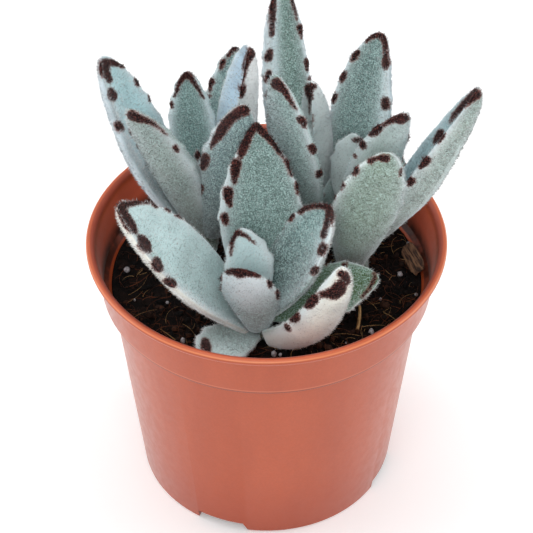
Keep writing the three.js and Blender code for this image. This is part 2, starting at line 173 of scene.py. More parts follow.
def ramp(node, value, low, high, to_low=0.0, to_high=1.0):
    made = node("ShaderNodeMapRange", {"interpolation_type": "SMOOTHSTEP"}, Value=value)
    for end, number in (("From Min", low), ("From Max", high), ("To Min", to_low),
                        ("To Max", to_high)):
        made.inputs[end].default_value = number
    return made.outputs["Result"]


def band(node, value, middle, half):
    """1 where the value is at its middle, falling to 0 at half a width to either side."""
    away = maths(node, "ABSOLUTE", maths(node, "SUBTRACT", value, middle))
    return ramp(node, away, half, 0.0)


def blend(node, share, first, second, kind="MIX"):
    made = node("ShaderNodeMix", {"data_type": "RGBA", "blend_type": kind})
    for index, value in ((0, share), (6, first), (7, second)):
        whole = isinstance(value, (bpy.types.NodeSocket, int, float))
        node.feed(made, index, value if whole else (*value, 1))
    return made.outputs[2]


def shaded(node, colour, low, high, value):
    """A colour made darker and lighter between two shares, by a value from 0.3 to 0.7."""
    return blend(node, 1.0, colour, grey(node, ramp(node, value, 0.3, 0.7, low, high)), "MULTIPLY")


def maths(node, kind, *values):
    made = node("ShaderNodeMath", {"operation": kind})
    for index, value in enumerate(values):
        node.feed(made, index, value)
    return made.outputs[0]


def times(node, first, *others):
    for other in others:
        first = maths(node, "MULTIPLY", first, other)
    return first


def join_two(node, value, low, high, first, second):
    """The base colour goes from the first to the second as the value goes from low to high."""
    colour = blend(node, ramp(node, value, low, high), paint(*first), paint(*second))
    node.join(colour, "Base Color")


def grey(node, value):
    return node("ShaderNodeCombineColor", Red=value, Green=value, Blue=value).outputs["Color"]


def bump(node, height, depth, strength=1.0):
    made = node("ShaderNodeBump", Height=height, Distance=depth * MM, Strength=strength)
    node.join(made.outputs["Normal"], "Normal")


# ---------------------------------------------------------------- mesh helpers

def built(name, bm):
    """The bmesh as a mesh."""
    mesh = bpy.data.meshes.new(name)
    bm.to_mesh(mesh)
    bm.free()
    return mesh


def finish_mesh(name, mesh, materials, stands_for=(), smooth=True):
    """The mesh, in metres, as a piece of the plant that rides with the pot."""
    if smooth:
        mesh.shade_smooth()
    for material in materials:
        mesh.materials.append(material)
    made = add_object(name, mesh)
    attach(made, "root")
    if stands_for:
        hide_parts(*stands_for)
    return made


def read_places(mesh):
    flat = np.empty(len(mesh.vertices) * 3, dtype=np.float32)
    mesh.vertices.foreach_get("co", flat)
    return flat.reshape(-1, 3).astype(float)


def read_whole(items, key):
    values = np.empty(len(items), dtype=np.int32)
    items.foreach_get(key, values)
    return values


def write_places(mesh, places):
    mesh.vertices.foreach_set("co", np.asarray(places * MM, dtype=np.float32).ravel())
    mesh.update()


def write_colour(mesh, name, colours):
    layer = mesh.color_attributes.new(name, "FLOAT_COLOR", "POINT")
    full = np.ones((len(colours), 4), dtype=np.float32)
    full[:, :3] = colours
    layer.data.foreach_set("color", full.ravel())


def write_value(mesh, name, values):
    layer = mesh.attributes.new(name, "FLOAT", "POINT")
    layer.data.foreach_set("value", np.asarray(values, dtype=np.float32))


def unit(vectors):
    length = np.linalg.norm(vectors, axis=-1, keepdims=True)
    return vectors / np.maximum(length, 1e-9)


def template(shape):
    """A small closed mesh made by a bmesh operator, and its vertices."""
    bm = bmesh.new()
    shape(bm)
    mesh = built("template", bm)
    return mesh, read_places(mesh)


def add_copies(bm, mesh, count):
    """Adds count copies of a mesh to bm, doubling a block so that it takes few calls."""
    blocks = [mesh]
    while 2 ** len(blocks) <= count:
        pair = bmesh.new()
        pair.from_mesh(blocks[-1])
        pair.from_mesh(blocks[-1])
        blocks.append(built("block", pair))
    for power, block in enumerate(blocks):
        if count >> power & 1:
            bm.from_mesh(block)
    for block in blocks[1:]:
        bpy.data.meshes.remove(block)


def frames(direction, turn):
    """For each direction, two unit vectors square to it, turned about it."""
    helper = np.where(np.abs(direction[:, 2:]) < 0.9, [[0, 0, 1.0]], [[1.0, 0, 0]])
    first = unit(np.cross(helper, direction))
    second = np.cross(direction, first)
    c, s = np.cos(turn)[:, None], np.sin(turn)[:, None]
    return first * c + second * s, second * c - first * s


def turned(shapes, middle, first, second, way):
    """Shapes, each turned to its own three directions and set at its own middle."""
    return (middle[:, None] + shapes[..., 0:1] * first[:, None]
            + shapes[..., 1:2] * second[:, None] + shapes[..., 2:3] * way[:, None])


def round_step(grid):
    return np.roll(grid, -1, 1) - np.roll(grid, 1, 1)


def outward(grid):
    """Unit vectors square to a grid of points, away from its middle."""
    return unit(np.cross(round_step(grid), np.gradient(grid, axis=0)))


def noise_on(grid, fineness, shift=(0, 0, 0)):
    """Smooth noise at each point of a grid."""
    return np.array([[noise.noise(Vector(point) * fineness + Vector(shift)) for point in row]
                     for row in grid])


def ball_rows(ball, rows):
    """For each point of a unit ball, its row counted from the lower pole, and its turn."""
    tilt = np.arccos(np.clip(ball[:, 2], -1, 1))
    row = rows - 1 - np.round(tilt / math.pi * (rows - 1)).astype(int)
    return row, np.arctan2(ball[:, 1], ball[:, 0])


def spaced(fine, weight, count):
    """The range cut in count parts, shorter where the weight is high."""
    total = np.concatenate([[0], np.cumsum((weight[1:] + weight[:-1]) / 2)])
    return np.interp(np.linspace(0, total[-1], count + 1), total, fine)


def mixed(first, second, share):
    return first * (1 - share) + second * share


# ---------------------------------------------------------------- the leaves' skin

# Leaves, by stem: where the leaf sits, its heading seen from above, its climb at the foot and
# at the tip, length, width, flesh, trough, roll, bluntness of the tip, and the teeth on its
# left and right edge as shares of the length. Angles are in degrees.
LEAVES = {
    "a1": ((0, -29, 83), -22, (28, 84), 45.5, 20.5, 10.5, 2, -28, 0.6,
           (0.5, 0.7), (0.4, 0.56, 0.74, 0.88)),
    "a2": ((-3, -28, 84), -130, (88, 56), 35, 18, 7, 2, 27, 0.6,
           (0.54, 0.7), (0.55, 0.76)),
    "a3": ((-4, -29, 82.5), -130, (25, 18), 29, 15, 6.5, 1, -10, 0.6,
           (0.55, 0.78), (0.6, 0.82)),
    "a4": ((-5, -26, 84), 198, (60, 50), 74, 26, 7.5, 5, -26, 0.6,
           (0.62, 0.72, 0.84), (0.61, 0.7, 0.8)),
    "a5": ((0, -26.5, 90.5), 10, (71, 55), 45.5, 23, 7, 4, 16, 0.6,
           (0.56, 0.68, 0.8), (0.6, 0.74, 0.87)),
    "a6": ((-3.2, -26, 91), 136, (82, 70), 30, 15, 5.5, 1, -30, 0.6,
           (0.6, 0.8), (0.55, 0.76)),
    "a7": ((0, -23, 86), 3, (25, 15), 39, 19, 5, 1, 24, 0.6,
           (0.5, 0.74), (0.45, 0.7)),
    "a8": ((-1.2, -18.5, 84), 101, (86, 78), 70.5, 26, 7.5, 1.5, -8, 0.85,
           (0.52, 0.65, 0.78), (0.55, 0.67, 0.79)),
    "b1": ((-24, 14, 91), 184, (68, 69), 77, 25, 7, 4, -20, 0.55,
           (0.6, 0.74, 0.88), (0.51, 0.64, 0.75, 0.86)),
    "b2": ((-22.5, 13.5, 88.5), -131, (77, 57), 77, 17, 7, 1, 24, 0.5,
           (0.54, 0.68, 0.8), (0.5, 0.64, 0.77)),
    "b3": ((-21, 18, 93), 110, (66, 81), 52, 17, 6.5, 1, -35, 0.6,
           (0.67, 0.79, 0.9), (0.7, 0.82)),
    "b4": ((-19, 18, 95), 72, (53, 65), 56, 18, 6, 1, 0, 0.6,
           (0.66, 0.77, 0.89), (0.6, 0.74, 0.86)),
    "b5": ((-16.5, 18, 97), -2, (90, 72), 67, 21, 8, 6, 12, 0.5,
           (0.6, 0.74, 0.87), (0.68, 0.81)),
    "b6": ((-19, 14, 88), -62, (68, 73), 77, 19, 7, 1, -46, 0.6,
           (0.45, 0.6, 0.76), (0.34, 0.5, 0.63, 0.76)),
    "b7": ((-21, 14, 101), -160, (88, 84), 23, 9, 4.5, 0.5, -8, 0.6,
           (0.6, 0.8), (0.7,)),
    "b8": ((-22, 18, 90), 140, (40, 45), 48, 18, 7, 2, 0, 0.6,
           (0.5, 0.65, 0.8), (0.57, 0.73)),
    "b9": ((-18, 18, 88), 55, (30, 38), 36, 16, 6.5, 2, 0, 0.6,
           (0.5, 0.7), (0.6, 0.8)),
    "b10": ((-24, 16, 85), 172, (14, 20), 21, 13, 6, 2, 0, 0.6,
            (0.55, 0.75), (0.6, 0.8)),
    "b11": ((-19, 16.5, 102.5), 130, (72, 84), 15, 8, 4, 0.5, 0, 0.6,
            (0.7,), (0.6,)),
    "c1": ((28, 1, 86), -70, (72, 67), 71, 22, 8, 1.5, -12, 0.5,
           (0.55, 0.7), (0.61, 0.73, 0.87)),
    "c2": ((31, 2, 95), -53, (90, 57), 70, 17, 7, 1, -24, 0.6,
           (0.55, 0.75), (0.6, 0.71, 0.84)),
    "c3": ((33, 4, 97), -20, (67, 60), 76.5, 20.5, 8, 6, 2, 0.5,
           (0.55, 0.7, 0.84), (0.5, 0.62, 0.76)),
    "c4": ((30.2, 6.5, 96), 32, (98, 72), 79, 25.5, 7, 2.5, 11, 0.6,
           (0.6, 0.72, 0.84), (0.62, 0.76, 0.9)),
    "c5": ((28.4, 3.9, 102), 63, (87, 94), 37, 16, 5, 1, 4, 0.6,
           (0.65, 0.82), (0.6, 0.78)),
    "c6": ((31, 6, 90), 60, (25, 32), 34, 17, 7, 2, 0, 0.6,
           (0.5, 0.7), (0.6, 0.8)),
    "c7": ((30, 4.5, 101.5), -110, (74, 86), 15, 8, 4, 0.5, 0, 0.6,
           (0.7,), (0.6,)),
    "d1": ((14, 15, 95), 122, (68, 88), 85, 19, 7, 2, 8, 0.5,
           (0.66, 0.74, 0.82, 0.9), (0.54, 0.62, 0.79)),
    "d2": ((15, 10, 94), -124, (78, 72), 79, 20, 7, 1, -10, 0.5,
           (0.46, 0.62, 0.79), (0.5, 0.65, 0.8)),
    "d3": ((14, 14, 99), 15, (94, 86), 53, 14, 7, 6, 2, 0.6,
           (0.6, 0.78), (0.55, 0.72)),
    "d4": ((17, 14, 98), -45, (55, 85), 20, 10, 4.5, 1, 0, 0.6,
           (0.6, 0.8), (0.7,)),
    "d5": ((16, 15, 92), 85, (36, 42), 40, 17, 7, 2, 0, 0.6,
           (0.5, 0.65, 0.8), (0.57, 0.73)),
    "d6": ((12, 14, 94), 150, (48, 60), 42, 16, 6.5, 2, 0, 0.6,
           (0.5, 0.65, 0.8), (0.57, 0.73)),
    "d7": ((15.5, 13.5, 102.5), 175, (74, 86), 16, 8, 4, 0.5, 0, 0.6,
           (0.7,), (0.6,)),
}
# The blade's outline, as shares of its length and width, and the power of its opening.
WIDEST, FOOT_SHARE, FOOT_ROUND, OPENING = 0.5, 0.42, 0.04, 1.15
# Shares of the flesh over and under the edges, and how it swells and thins along the blade.
UPPER, DIP, LOWER = 0.34, 0.22, 0.66
SWELL, SWELL_AT, THINNING = 0.28, 0.35, 0.34
TOOTH, TOOTH_REACH = 0.7, 2.8            # height, and length to either side

SKIN_PROUD, SKIN_SWAY = 0.1, 0.2         # how far the felted skin stands off the solid
MARK_PROUD, MARK_FULL = 0.25, 1.2        # and how much more on a mark, when this far inside it

# Skin colours of the upper and the under side, where they aren't the usual ones. Besides each
# leaf's own colour they hold painted light and shade: leaves in shade, such as b5, c5 and d3,
# are painted near white, and the others lighter or darker for how much light falls on them.
USUAL_SKINS = ((150, 176, 172), (196, 212, 212))
# The colours of the painted sheen at the margins and of the painted streaks of light.
FRINGE_SKIN, LIT_STREAK_SKIN = paint(236, 245, 248), paint(226, 242, 246)
SKINS = {
    "a1": ((200, 206, 196), (255, 252, 242)),
    "a2": ((176, 198, 194), (228, 236, 240)),
    "a3": ((196, 212, 212), (182, 196, 196)),
    "a4": ((206, 236, 234), (250, 244, 232)),
    "a5": ((130, 164, 164), (240, 242, 240)),
    "a6": ((222, 244, 246), (206, 220, 222)),
    "a7": ((102, 132, 72), (214, 210, 190)),
    "a8": ((136, 162, 157), (206, 222, 222)),
    "b1": ((204, 240, 244), (212, 224, 232)),
    "b2": ((148, 168, 161), (174, 184, 178)),
    "b3": ((150, 178, 174), (196, 212, 212)),
    "b4": ((120, 152, 154), (190, 206, 206)),
    "b5": ((212, 234, 252), (255, 255, 255)),
    "b6": ((124, 151, 150), (114, 138, 142)),
    "c1": ((146, 168, 138), (162, 180, 158)),
    "c2": ((156, 192, 188), (210, 224, 222)),
    "c3": ((150, 186, 196), (184, 192, 182)),
    "c4": ((112, 141, 138), (200, 214, 222)),
    "c5": ((246, 255, 255), (244, 252, 254)),
    "d1": ((120, 152, 139), (222, 234, 240)),
    "d2": ((130, 166, 158), (142, 166, 163)),
    "d3": ((250, 255, 255), (250, 255, 255)),
}

# Dark marks as the camera sees them, each a stroke of points: pixels across and down a view of
# 533 pixels, and the stroke's radius there in pixels.
VIEW_SIZE, SENSOR = 533, 36
MARKS = {
    "a1": [[(341, 274, 3), (345, 276.5, 4.3), (347.5, 281, 3)], [(321.5, 294.5, 2.3), (328.5, 293.5, 4),
        (335, 293, 6.3), (339, 289, 7), (341.5, 285, 4.7)], [(309, 302.5, 5.7), (312.5, 299, 5.7)],
        [(294.5, 317, 5)], [(286.5, 326, 2), (288.5, 329, 2)]],
    "a2": [[(228, 272, 2), (235, 271, 3), (240, 273, 5), (247, 272, 3.4), (254, 274, 2.2),
        (259, 276, 1.4)], [(269, 280, 1.6), (270.5, 286, 1.8)], [(277, 291, 1.3), (278, 297, 1.6)]],
    "a3": [[(205.5, 342, 3.7), (205.5, 346.5, 4.9), (207, 350, 3.7)]],
    "a4": [[(150, 201.5, 0.8), (140, 202, 1.5), (130, 203.5, 2.3), (122.5, 206, 3.7), (121, 209, 4.3),
        (124.5, 216, 4.7), (128.5, 222.5, 5), (132.5, 229, 4.5), (135, 232.5, 2.3)],
        [(141.5, 239.5, 4.3), (144, 244, 6.3), (147, 248.5, 4.7)], [(156.5, 262.5, 4.7),
        (158.5, 267, 4.7)], [(167.5, 282.5, 4), (172, 283.5, 4)], [(152.5, 202.5, 2),
        (156.5, 205.5, 2)], [(166, 207.5, 2), (170.5, 210, 1.7)], [(176, 212, 1.3), (180, 214, 1.5),
        (183.5, 216.5, 1)]],
    "a5": [[(300, 211.5, 2.3), (306.5, 207.5, 2), (313.5, 206, 2), (321, 205.5, 2.3), (327.5, 206.5, 3),
        (330, 211, 3.7), (329.5, 217.5, 4), (327.5, 224, 3.3), (326, 230, 3), (324, 234.5, 3.7)],
        [(323, 247.5, 3.7), (321, 251.5, 4)], [(315.5, 270, 3.3), (313.5, 271.5, 3)], [(293, 215, 1.7),
        (290.5, 218.5, 2.3)], [(283, 223.5, 1.3), (281, 227, 1.7)]],
    "a6": [[(255, 243, 0.4), (245, 235, 1), (240, 233, 2.2), (236, 232, 2.6), (233, 236, 2.6),
        (232, 241, 2), (231.5, 246, 1.2), (231, 255, 0.4)]],
    "a7": [[(326, 264, 1.5)], [(345, 265, 2)], [(374, 273, 1), (375, 278, 1), (370, 288, 1),
        (362, 297, 0.8)]],
    "a8": [[(283, 155, 1.4), (280.5, 151.5, 2.4), (278, 147, 3.2), (274.5, 142, 3.4), (269.5, 138, 3.2),
        (264.5, 133.5, 3.2), (259.5, 128.5, 3.4), (255, 125.5, 3.6), (251.5, 128.5, 4),
        (248.5, 133.5, 4.4), (246.5, 138.5, 4.6), (244.5, 143.5, 4.6), (243, 148.5, 4.2),
        (241.5, 153, 3.2), (240, 156.5, 1.4)], [(236, 163.5, 4.6), (235.5, 168.5, 4.4),
        (235, 174.5, 3.2), (234.5, 179.5, 2.2), (234.5, 183, 1.2)], [(228, 191.5, 4.5),
        (228, 195.5, 4.2), (229, 201.5, 2.6), (230.5, 205.5, 1.4)], [(224.5, 216.5, 3.3),
        (225, 219.5, 3), (226, 223.5, 1.4)], [(288, 160, 3.4), (289.5, 163.5, 3.4), (290.5, 168.5, 2.4),
        (291.5, 174.5, 1.2)], [(298, 183, 2.8), (299, 188, 2.8), (299.5, 192.5, 1.8)]],
    "b1": [[(123.5, 66.5, 1.3), (116.5, 63.5, 2), (110, 62.5, 2.7), (104, 63.5, 4.3), (104, 70, 4.7),
        (106.5, 76, 4), (109.5, 80, 2.7)], [(110.5, 92.5, 3.7), (112, 96, 4.7)], [(118, 125, 3.3),
        (120, 127.5, 3.7)], [(136, 79.5, 2), (137.5, 83.5, 2.3)], [(149.5, 96, 1.7), (150, 99.5, 1.7)]],
    "b2": [[(132, 115.5, 4.5), (137.5, 118, 3.9), (142.5, 119.5, 2.8), (147.5, 121, 2),
        (153.5, 123.5, 1.1), (159, 128, 0.4), (166.5, 134.5, 0.4)], [(175.5, 147, 2),
        (177, 150.5, 1.5)]],
    "b3": [[(171.5, 103.5, 1.7), (171.5, 106.5, 1.1)], [(174.5, 96.5, 0.4), (177, 90, 0.9),
        (179, 83.5, 1.5), (182.5, 77.5, 2.4), (186.5, 74.5, 3.3), (191, 77, 2.3), (195, 83.5, 1.5),
        (199, 90, 1.1), (203.5, 98.5, 0.4)]],
    "b4": [[(228, 56, 1), (231, 51.5, 1.3), (234, 48.5, 2.1), (237, 48, 2.7), (238.5, 49.5, 1.6)],
        [(223, 61.5, 2.3), (221.5, 65.5, 1.5), (220, 70, 0.4)], [(212, 81, 2.4), (210.5, 85, 1.8),
        (210, 90.5, 0.4)], [(209, 96, 1.7)]],
    "b5": [[(251.5, 52, 4.1), (249, 57.5, 3.5), (246, 63.5, 2.5), (244.5, 70, 1.8), (243.5, 76.5, 1.3),
        (242.5, 81.5, 0.4)], [(242, 88.5, 3.6), (241.5, 92.5, 2.9), (241, 96.5, 1.5)]],
    "b6": [[(245, 110.5, 4.4), (241.5, 111, 4.8), (238, 113, 4.7), (233.5, 116, 4.2), (229, 120, 4.5),
        (225, 125, 4.8), (222, 130, 4.6), (219, 135, 3.7), (215.5, 140, 2.6), (212.5, 144, 1.4),
        (211, 148.5, 0.4)], [(206, 158, 4.2), (205, 162.5, 4), (203, 168, 2)], [(200.5, 187.5, 3.3),
        (200, 191, 2.7), (199.5, 194.5, 1.2)]],
    "b7": [[(199, 155, 4), (201, 161, 2.4)]],
    "c1": [[(370, 161, 2.4), (376, 158.5, 1.2), (382, 158, 2.8), (386, 158.5, 3.3)], [(356, 169, 3.1),
        (354.5, 172.5, 2.5)], [(342.5, 184.5, 2.2), (340, 187.5, 2.3)], [(333.5, 195.5, 2),
        (332, 198.5, 1.5)], [(400.5, 170, 1.2), (400, 175, 1)]],
    "c2": [[(404.5, 118, 3.8), (401.5, 119, 4.8), (396, 119, 3.6), (391, 120.5, 2.4), (387, 122.5, 1.5),
        (384, 125, 1.3)], [(379, 127.5, 3.5), (375, 131, 3.9), (369.5, 135, 0.4)], [(362.5, 143.5, 3),
        (363, 146, 2.8)], [(355, 156, 1.4)]],
    "c3": [[(476, 94, 4.8), (470.5, 98.5, 3.6), (465, 103.5, 3), (460, 109.5, 2.6), (455, 115, 2.3),
        (452, 119, 1.7), (449, 123, 0.4)], [(441, 134, 4.1), (438, 138.5, 3.7), (435, 143, 1.8)],
        [(426, 160, 4.1), (424, 163, 3.9), (420.5, 167, 1.4)], [(411, 181, 3.7), (409.5, 184, 2.2)]],
    "c4": [[(366, 40.5, 1.3), (371.5, 36.5, 2), (378.5, 34.5, 2.3), (384, 37.5, 3), (385.5, 43.5, 2.7),
        (385.5, 50, 2), (386, 57.5, 2.3), (386, 62, 4), (385.5, 66, 3)], [(386, 101.5, 4),
        (385.5, 105.5, 4)], [(357.5, 52.5, 2.3), (355, 56, 2.5), (352.5, 60, 1.3)], [(344, 73.5, 2.4),
        (343, 77, 2.4), (341, 81, 1)], [(335, 95, 2.2), (334, 99, 1.9), (333, 102, 0.9)]],
    "c5": [[(354, 140.5, 1.2), (359, 140, 2.1), (362, 141.5, 1.4)]],
    "d1": [[(272.5, 0, 3), (272.5, 10, 3), (272, 20, 2.7), (271.5, 26.5, 2.3), (271.5, 33.5, 2.7)],
        [(269.5, 52.5, 3), (268.5, 57.5, 3.7)], [(268.5, 74, 3), (268.5, 78.5, 4)], [(292, 0, 1),
        (294, 8, 0.8), (297, 20, 0.4)], [(299.5, 27, 2.6), (300.5, 31, 1.7), (301, 38, 0.4)],
        [(307, 61, 2.4), (307, 66, 1.7), (307.5, 70, 0.9)], [(309, 78.5, 1.5)]],
    "d2": [[(276.5, 84, 5.2), (279.5, 86.5, 4.6), (284, 90, 2.7), (287, 95, 2.3), (290, 100, 1.7),
        (293, 105, 1.1), (296, 109, 0.4)], [(301, 119.5, 3.5), (303.5, 122, 2.9), (305, 128, 0.4)],
        [(311.5, 147.5, 3.3), (313.5, 148.5, 3.1), (313.5, 152, 2.2)], [(319.5, 173, 3.3),
        (318.5, 175.5, 2.3)]],
    "d3": [[(314.5, 86.5, 1.5), (311.5, 86.5, 2.8), (308, 87, 3.6), (309, 92, 2.9), (310, 97, 2.1),
        (310.5, 103, 1.5), (311, 110, 1.2), (311.5, 117, 0.4), (312, 126, 0.4)]],
    "d4": [[(334.5, 175, 2.5), (338, 177, 2.5)]],
}
MARK_SPREAD = 0.15                       # how far a mark runs out past its strokes
MARK_FROM, MARK_TO = 0.15, 0.997         # the part of the blade that is looked at for marks
MARK_ROWS_PER_MM, MARK_STEP = 2.2, 3     # rows along the blade, and degrees round it
FACING = 0.1                             # least share of the skin's direction to the camera
SIGHT_CELL, SIGHT_DEPTH = 2, 0.996       # pixels, and share of the nearest skin's scale
THIN_MARK = 1.5                          # pixels: widest ball on a stroke's own line
BARE = -9.0                              # depth inside the marks of what lies far from any

# Leaves with strokes that also have an edge out of sight, which gets a plain mark at each
# tooth. Leaves without strokes get them on both edges, and a dark tip.
PLAIN_EDGES = {"a1": "left", "a2": "right", "b2": "right", "b4": "right", "b6": "left",
               "c2": "left", "d2": "right", "d4": "right"}
PLAIN_TIP = [(0.94, 10, 0.65), (0.98, 90, 1.05), (0.94, 170, 0.65)]
PLAIN_DEGREES, PLAIN_RADIUS, PLAIN_STEPS = {"left": 12, "right": 168}, 1.15, (-0.015, 0, 0.015)

# Degrees at which the margins of a blade lie, where they are turned in over its upper face or
# out over its under face.
MARGINS = {"a4": (28, 176), "a5": (12, 150), "a8": (26, 174), "b1": (56, 168), "b2": (-26, 178),
           "b3": (24, 150), "b6": (4, 198), "c1": (-10, 188), "c2": (4, 196), "c3": (4, 182),
           "c4": (20, 152), "d1": (36, 156), "d2": (-18, 178), "a6": (14, 150), "a1": (2, 186),
           "a2": (-8, 178), "b4": (22, 176)}
USUAL_MARGINS = (4, 176)
MARGIN_BLUR = 16                         # degrees over which one side's colour becomes the other's
# Painted sheen: the skin near a margin is paler, standing for the bright rim that the felt shows where
# it is seen edge-on.
PALE_REACH, PALE_SHARE = 44, 0.85        # degrees from a margin that it is paler, and how much
FRINGE_REACH = 22                        # degrees from a margin that its hairs are longer
# Where a painted streak of light runs along a blade: degrees, half width in degrees, share.
LIT_STREAKS = {"d1": (62, 26, 0.95), "c4": (132, 24, 0.6), "b1": (60, 40, 0.4), "a4": (120, 50, 0.4),
           "a5": (134, 46, 0.9), "c3": (40, 60, 0.3)}
# Painted shade at the feet of some leaves, where the rosette shades them: the share of their
# light that is left there, and where along the blade it is back in full, starting at a share of
# the length and over another.
DIM_FROM, DIM_OVER = 0.3, 0.4
DIM_FEET = {"a4": 0.8, "a5": 0.36, "c5": 0.85, "b6": 0.84, "a8": 0.92, "a2": 0.55, "d2": 0.85,
            "a3": 0.75}


def leaf_skin(leaf, shares, angles):
    """Points on a leaf's skin, in rows along it and columns round it from its left edge, with
    the direction along the leaf at each."""
    foot, facing, rise, long, wide, flesh, trough, roll, blunt, left, right = leaf
    s = shares[:, None]
    rise0, rise1 = (math.radians(value) for value in rise)
    climb = rise0 + (rise1 - rise0) * s
    bend = (rise1 - rise0) / long
    out = (np.sin(climb) - math.sin(rise0)) / bend
    up = (math.cos(rise0) - np.cos(climb)) / bend
    c, n = math.cos(math.radians(facing)), math.sin(math.radians(facing))
    along = np.stack([np.cos(climb) * c, np.cos(climb) * n, np.sin(climb)], -1)
    across = np.array([-n, c, 0.0]) * np.ones_like(along)
    above = np.cross(along, across)
    cr, sr = math.cos(math.radians(roll)), math.sin(math.radians(roll))
    side_way = across * cr + above * sr
    over_way = above * cr - across * sr

    closing = np.sqrt(1 - np.maximum(1 - s / FOOT_ROUND, 0) ** 2)
    opening = np.sin(math.pi / 2 * np.minimum(s / WIDEST, 1)) ** OPENING
    ending = np.maximum((s - WIDEST) / (1 - WIDEST), 0)
    shape = (FOOT_SHARE + (1 - FOOT_SHARE) * opening) * closing
    shape = shape * np.maximum(np.cos(math.pi / 2 * ending), 0) ** blunt
    wave = np.sin(math.pi / 2 * np.minimum(s / SWELL_AT, 2))
    past = np.maximum(s - SWELL_AT, 0) / (1 - SWELL_AT)
    thick = flesh * (1 - SWELL + SWELL * wave) * (1 - THINNING * past ** 1.5)
    thick = thick * np.sqrt(np.maximum(1 - s ** 7, 0)) * closing

    ca, sa = np.cos(angles)[None, :], np.sin(angles)[None, :]
    teeth = np.zeros((len(shares), len(angles)))
    for way, edge in ((1, left), (-1, right)):
        for at in edge:
            away = np.minimum(np.abs(s - at) * long / TOOTH_REACH, 1)
            high = TOOTH * (1 - away ** 2) ** 2 * np.maximum(way * ca, 0) ** 8
            teeth = np.maximum(teeth, high)
    side = (wide / 2 * shape + teeth) * ca
    depth = thick * np.where(sa > 0, UPPER * sa - DIP * sa * sa, LOWER * sa)
    depth = depth - trough * shape * sa * sa
    middle = np.array(foot) + np.stack([out * c, out * n, up], -1)
    points = middle + side_way * side[..., None] + over_way * depth[..., None]
    return points, np.broadcast_to(along, points.shape)


def in_view(points):
    """Pixels across and down the camera's view, and pixels to a millimetre at each point."""
    away = points - np.array(CAMERA_PLACE) / MM
    depth = away[..., 1] * math.sin(CAMERA_PITCH) - away[..., 2] * math.cos(CAMERA_PITCH)
    rise = away[..., 1] * math.cos(CAMERA_PITCH) + away[..., 2] * math.sin(CAMERA_PITCH)
    scale = VIEW_SIZE * CAMERA_LENS / SENSOR / depth
    return VIEW_SIZE / 2 + scale * away[..., 0], VIEW_SIZE / 2 - scale * rise, scale


def seen_skin(leaf):
    """Points of a leaf's skin that the camera sees, with their places and scale in its view."""
    shares = np.linspace(MARK_FROM, MARK_TO, int(MARK_ROWS_PER_MM * leaf[3]))
    skin, _ = leaf_skin(leaf, shares, np.radians(np.arange(0, 360, MARK_STEP)))
    to_camera = unit(np.array(CAMERA_PLACE) / MM - skin)
    skin = skin[(to_camera * outward(skin)).sum(-1) > FACING]
    across, down, scale = in_view(skin)
    cells = np.round(across / SIGHT_CELL) * 1000 + np.round(down / SIGHT_CELL)
    _, cell = np.unique(cells, return_inverse=True)
    nearest = np.zeros(cell.max() + 1)
    np.maximum.at(nearest, cell, scale)
    front = scale > nearest[cell] * SIGHT_DEPTH
    return skin[front], across[front], down[front], scale[front]


def stroke_dabs(stroke):
    """Points at most a pixel apart along a stroke."""
    points = np.array(stroke, dtype=float)
    for start, end in zip(points, np.concatenate([points[1:], points[-1:]])):
        steps = 1 + int(np.hypot(*(end - start)[:2]))
        for share in np.arange(steps) / steps:
            yield mixed(start, end, share)


def seen_marks(leaf, strokes):
    """Strokes laid on the seen side of a leaf, as balls: one on each point of the skin inside a
    stroke, as wide as the point lies inside it, and a small one at each dab of the stroke."""
    skin, across, down, scale = seen_skin(leaf)
    inside = np.full(len(skin), BARE)
    places, radii = [], []
    for stroke in strokes:
        for u, v, radius in stroke_dabs(stroke):
            away = np.hypot(across - u, down - v)
            inside = np.maximum(inside, radius - away)
            at = np.argmin(away)
            places.append(skin[at])
            radii.append(min(radius, THIN_MARK) / scale[at])
    marked = inside > 0
    return (np.concatenate([places, skin[marked]]),
            np.concatenate([radii, inside[marked] / scale[marked] + MARK_SPREAD]))


def tooth_marks(leaf, edges):
    """A plain mark at each tooth of the named edges, as balls."""
    dabs = list(PLAIN_TIP) if edges == "both" else []
    for edge, teeth in (("left", leaf[9]), ("right", leaf[10])):
        if edges in (edge, "both"):
            dabs += [(at + step, PLAIN_DEGREES[edge], PLAIN_RADIUS)
                     for at in teeth for step in PLAIN_STEPS]
    shares, degrees, radii = np.array(dabs).T
    skin, _ = leaf_skin(leaf, shares, np.radians(degrees))
    return np.diagonal(skin).T, radii


def mark_beads(name, leaf):
    """The dark marks of a leaf as balls that colour what lies in them: places and radii."""
    if name not in MARKS:
        return tooth_marks(leaf, "both")
    parts = [seen_marks(leaf, MARKS[name])]
    if name in PLAIN_EDGES:
        parts.append(tooth_marks(leaf, PLAIN_EDGES[name]))
    return [np.concatenate(values) for values in zip(*parts)]


def mark_depth(points, beads):
    """How far each point lies inside the dark marks, in millimetres."""
    places, radii = beads
    inside = np.full(points.shape[:-1], BARE)
    for place, radius in zip(places, radii):
        inside = np.maximum(inside, radius - np.linalg.norm(points - place, axis=-1))
    return inside


PRESS_LIMIT = 0.8


def press_back(node, points):
    """Brings points that stand out of the leaf's own solid back to near it, as where a leaf
    is pressed against its neighbour."""
    bm = bmesh.new()
    bm.from_mesh(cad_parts[node].data)
    tree = BVHTree.FromBMesh(bm)
    bm.free()
    pressed = np.zeros(points.shape[:2], dtype=bool)
    for row in range(points.shape[0]):
        for column in range(points.shape[1]):
            point = Vector(points[row, column] * MM)
            near, normal, _, far = tree.find_nearest(point)
            if far > PRESS_LIMIT * MM and (point - near).dot(normal) > 0:
                points[row, column] = near / MM + (point - near) * (PRESS_LIMIT / far)
                pressed[row, column] = True
    return pressed


# ---------------------------------------------------------------- felted pieces

HAIRS_PER_MM2 = 2.9
HAIR_LENGTH, HAIR_RADIUS, HAIR_SUNK = (0.6, 1.2), 0.085, 0.05
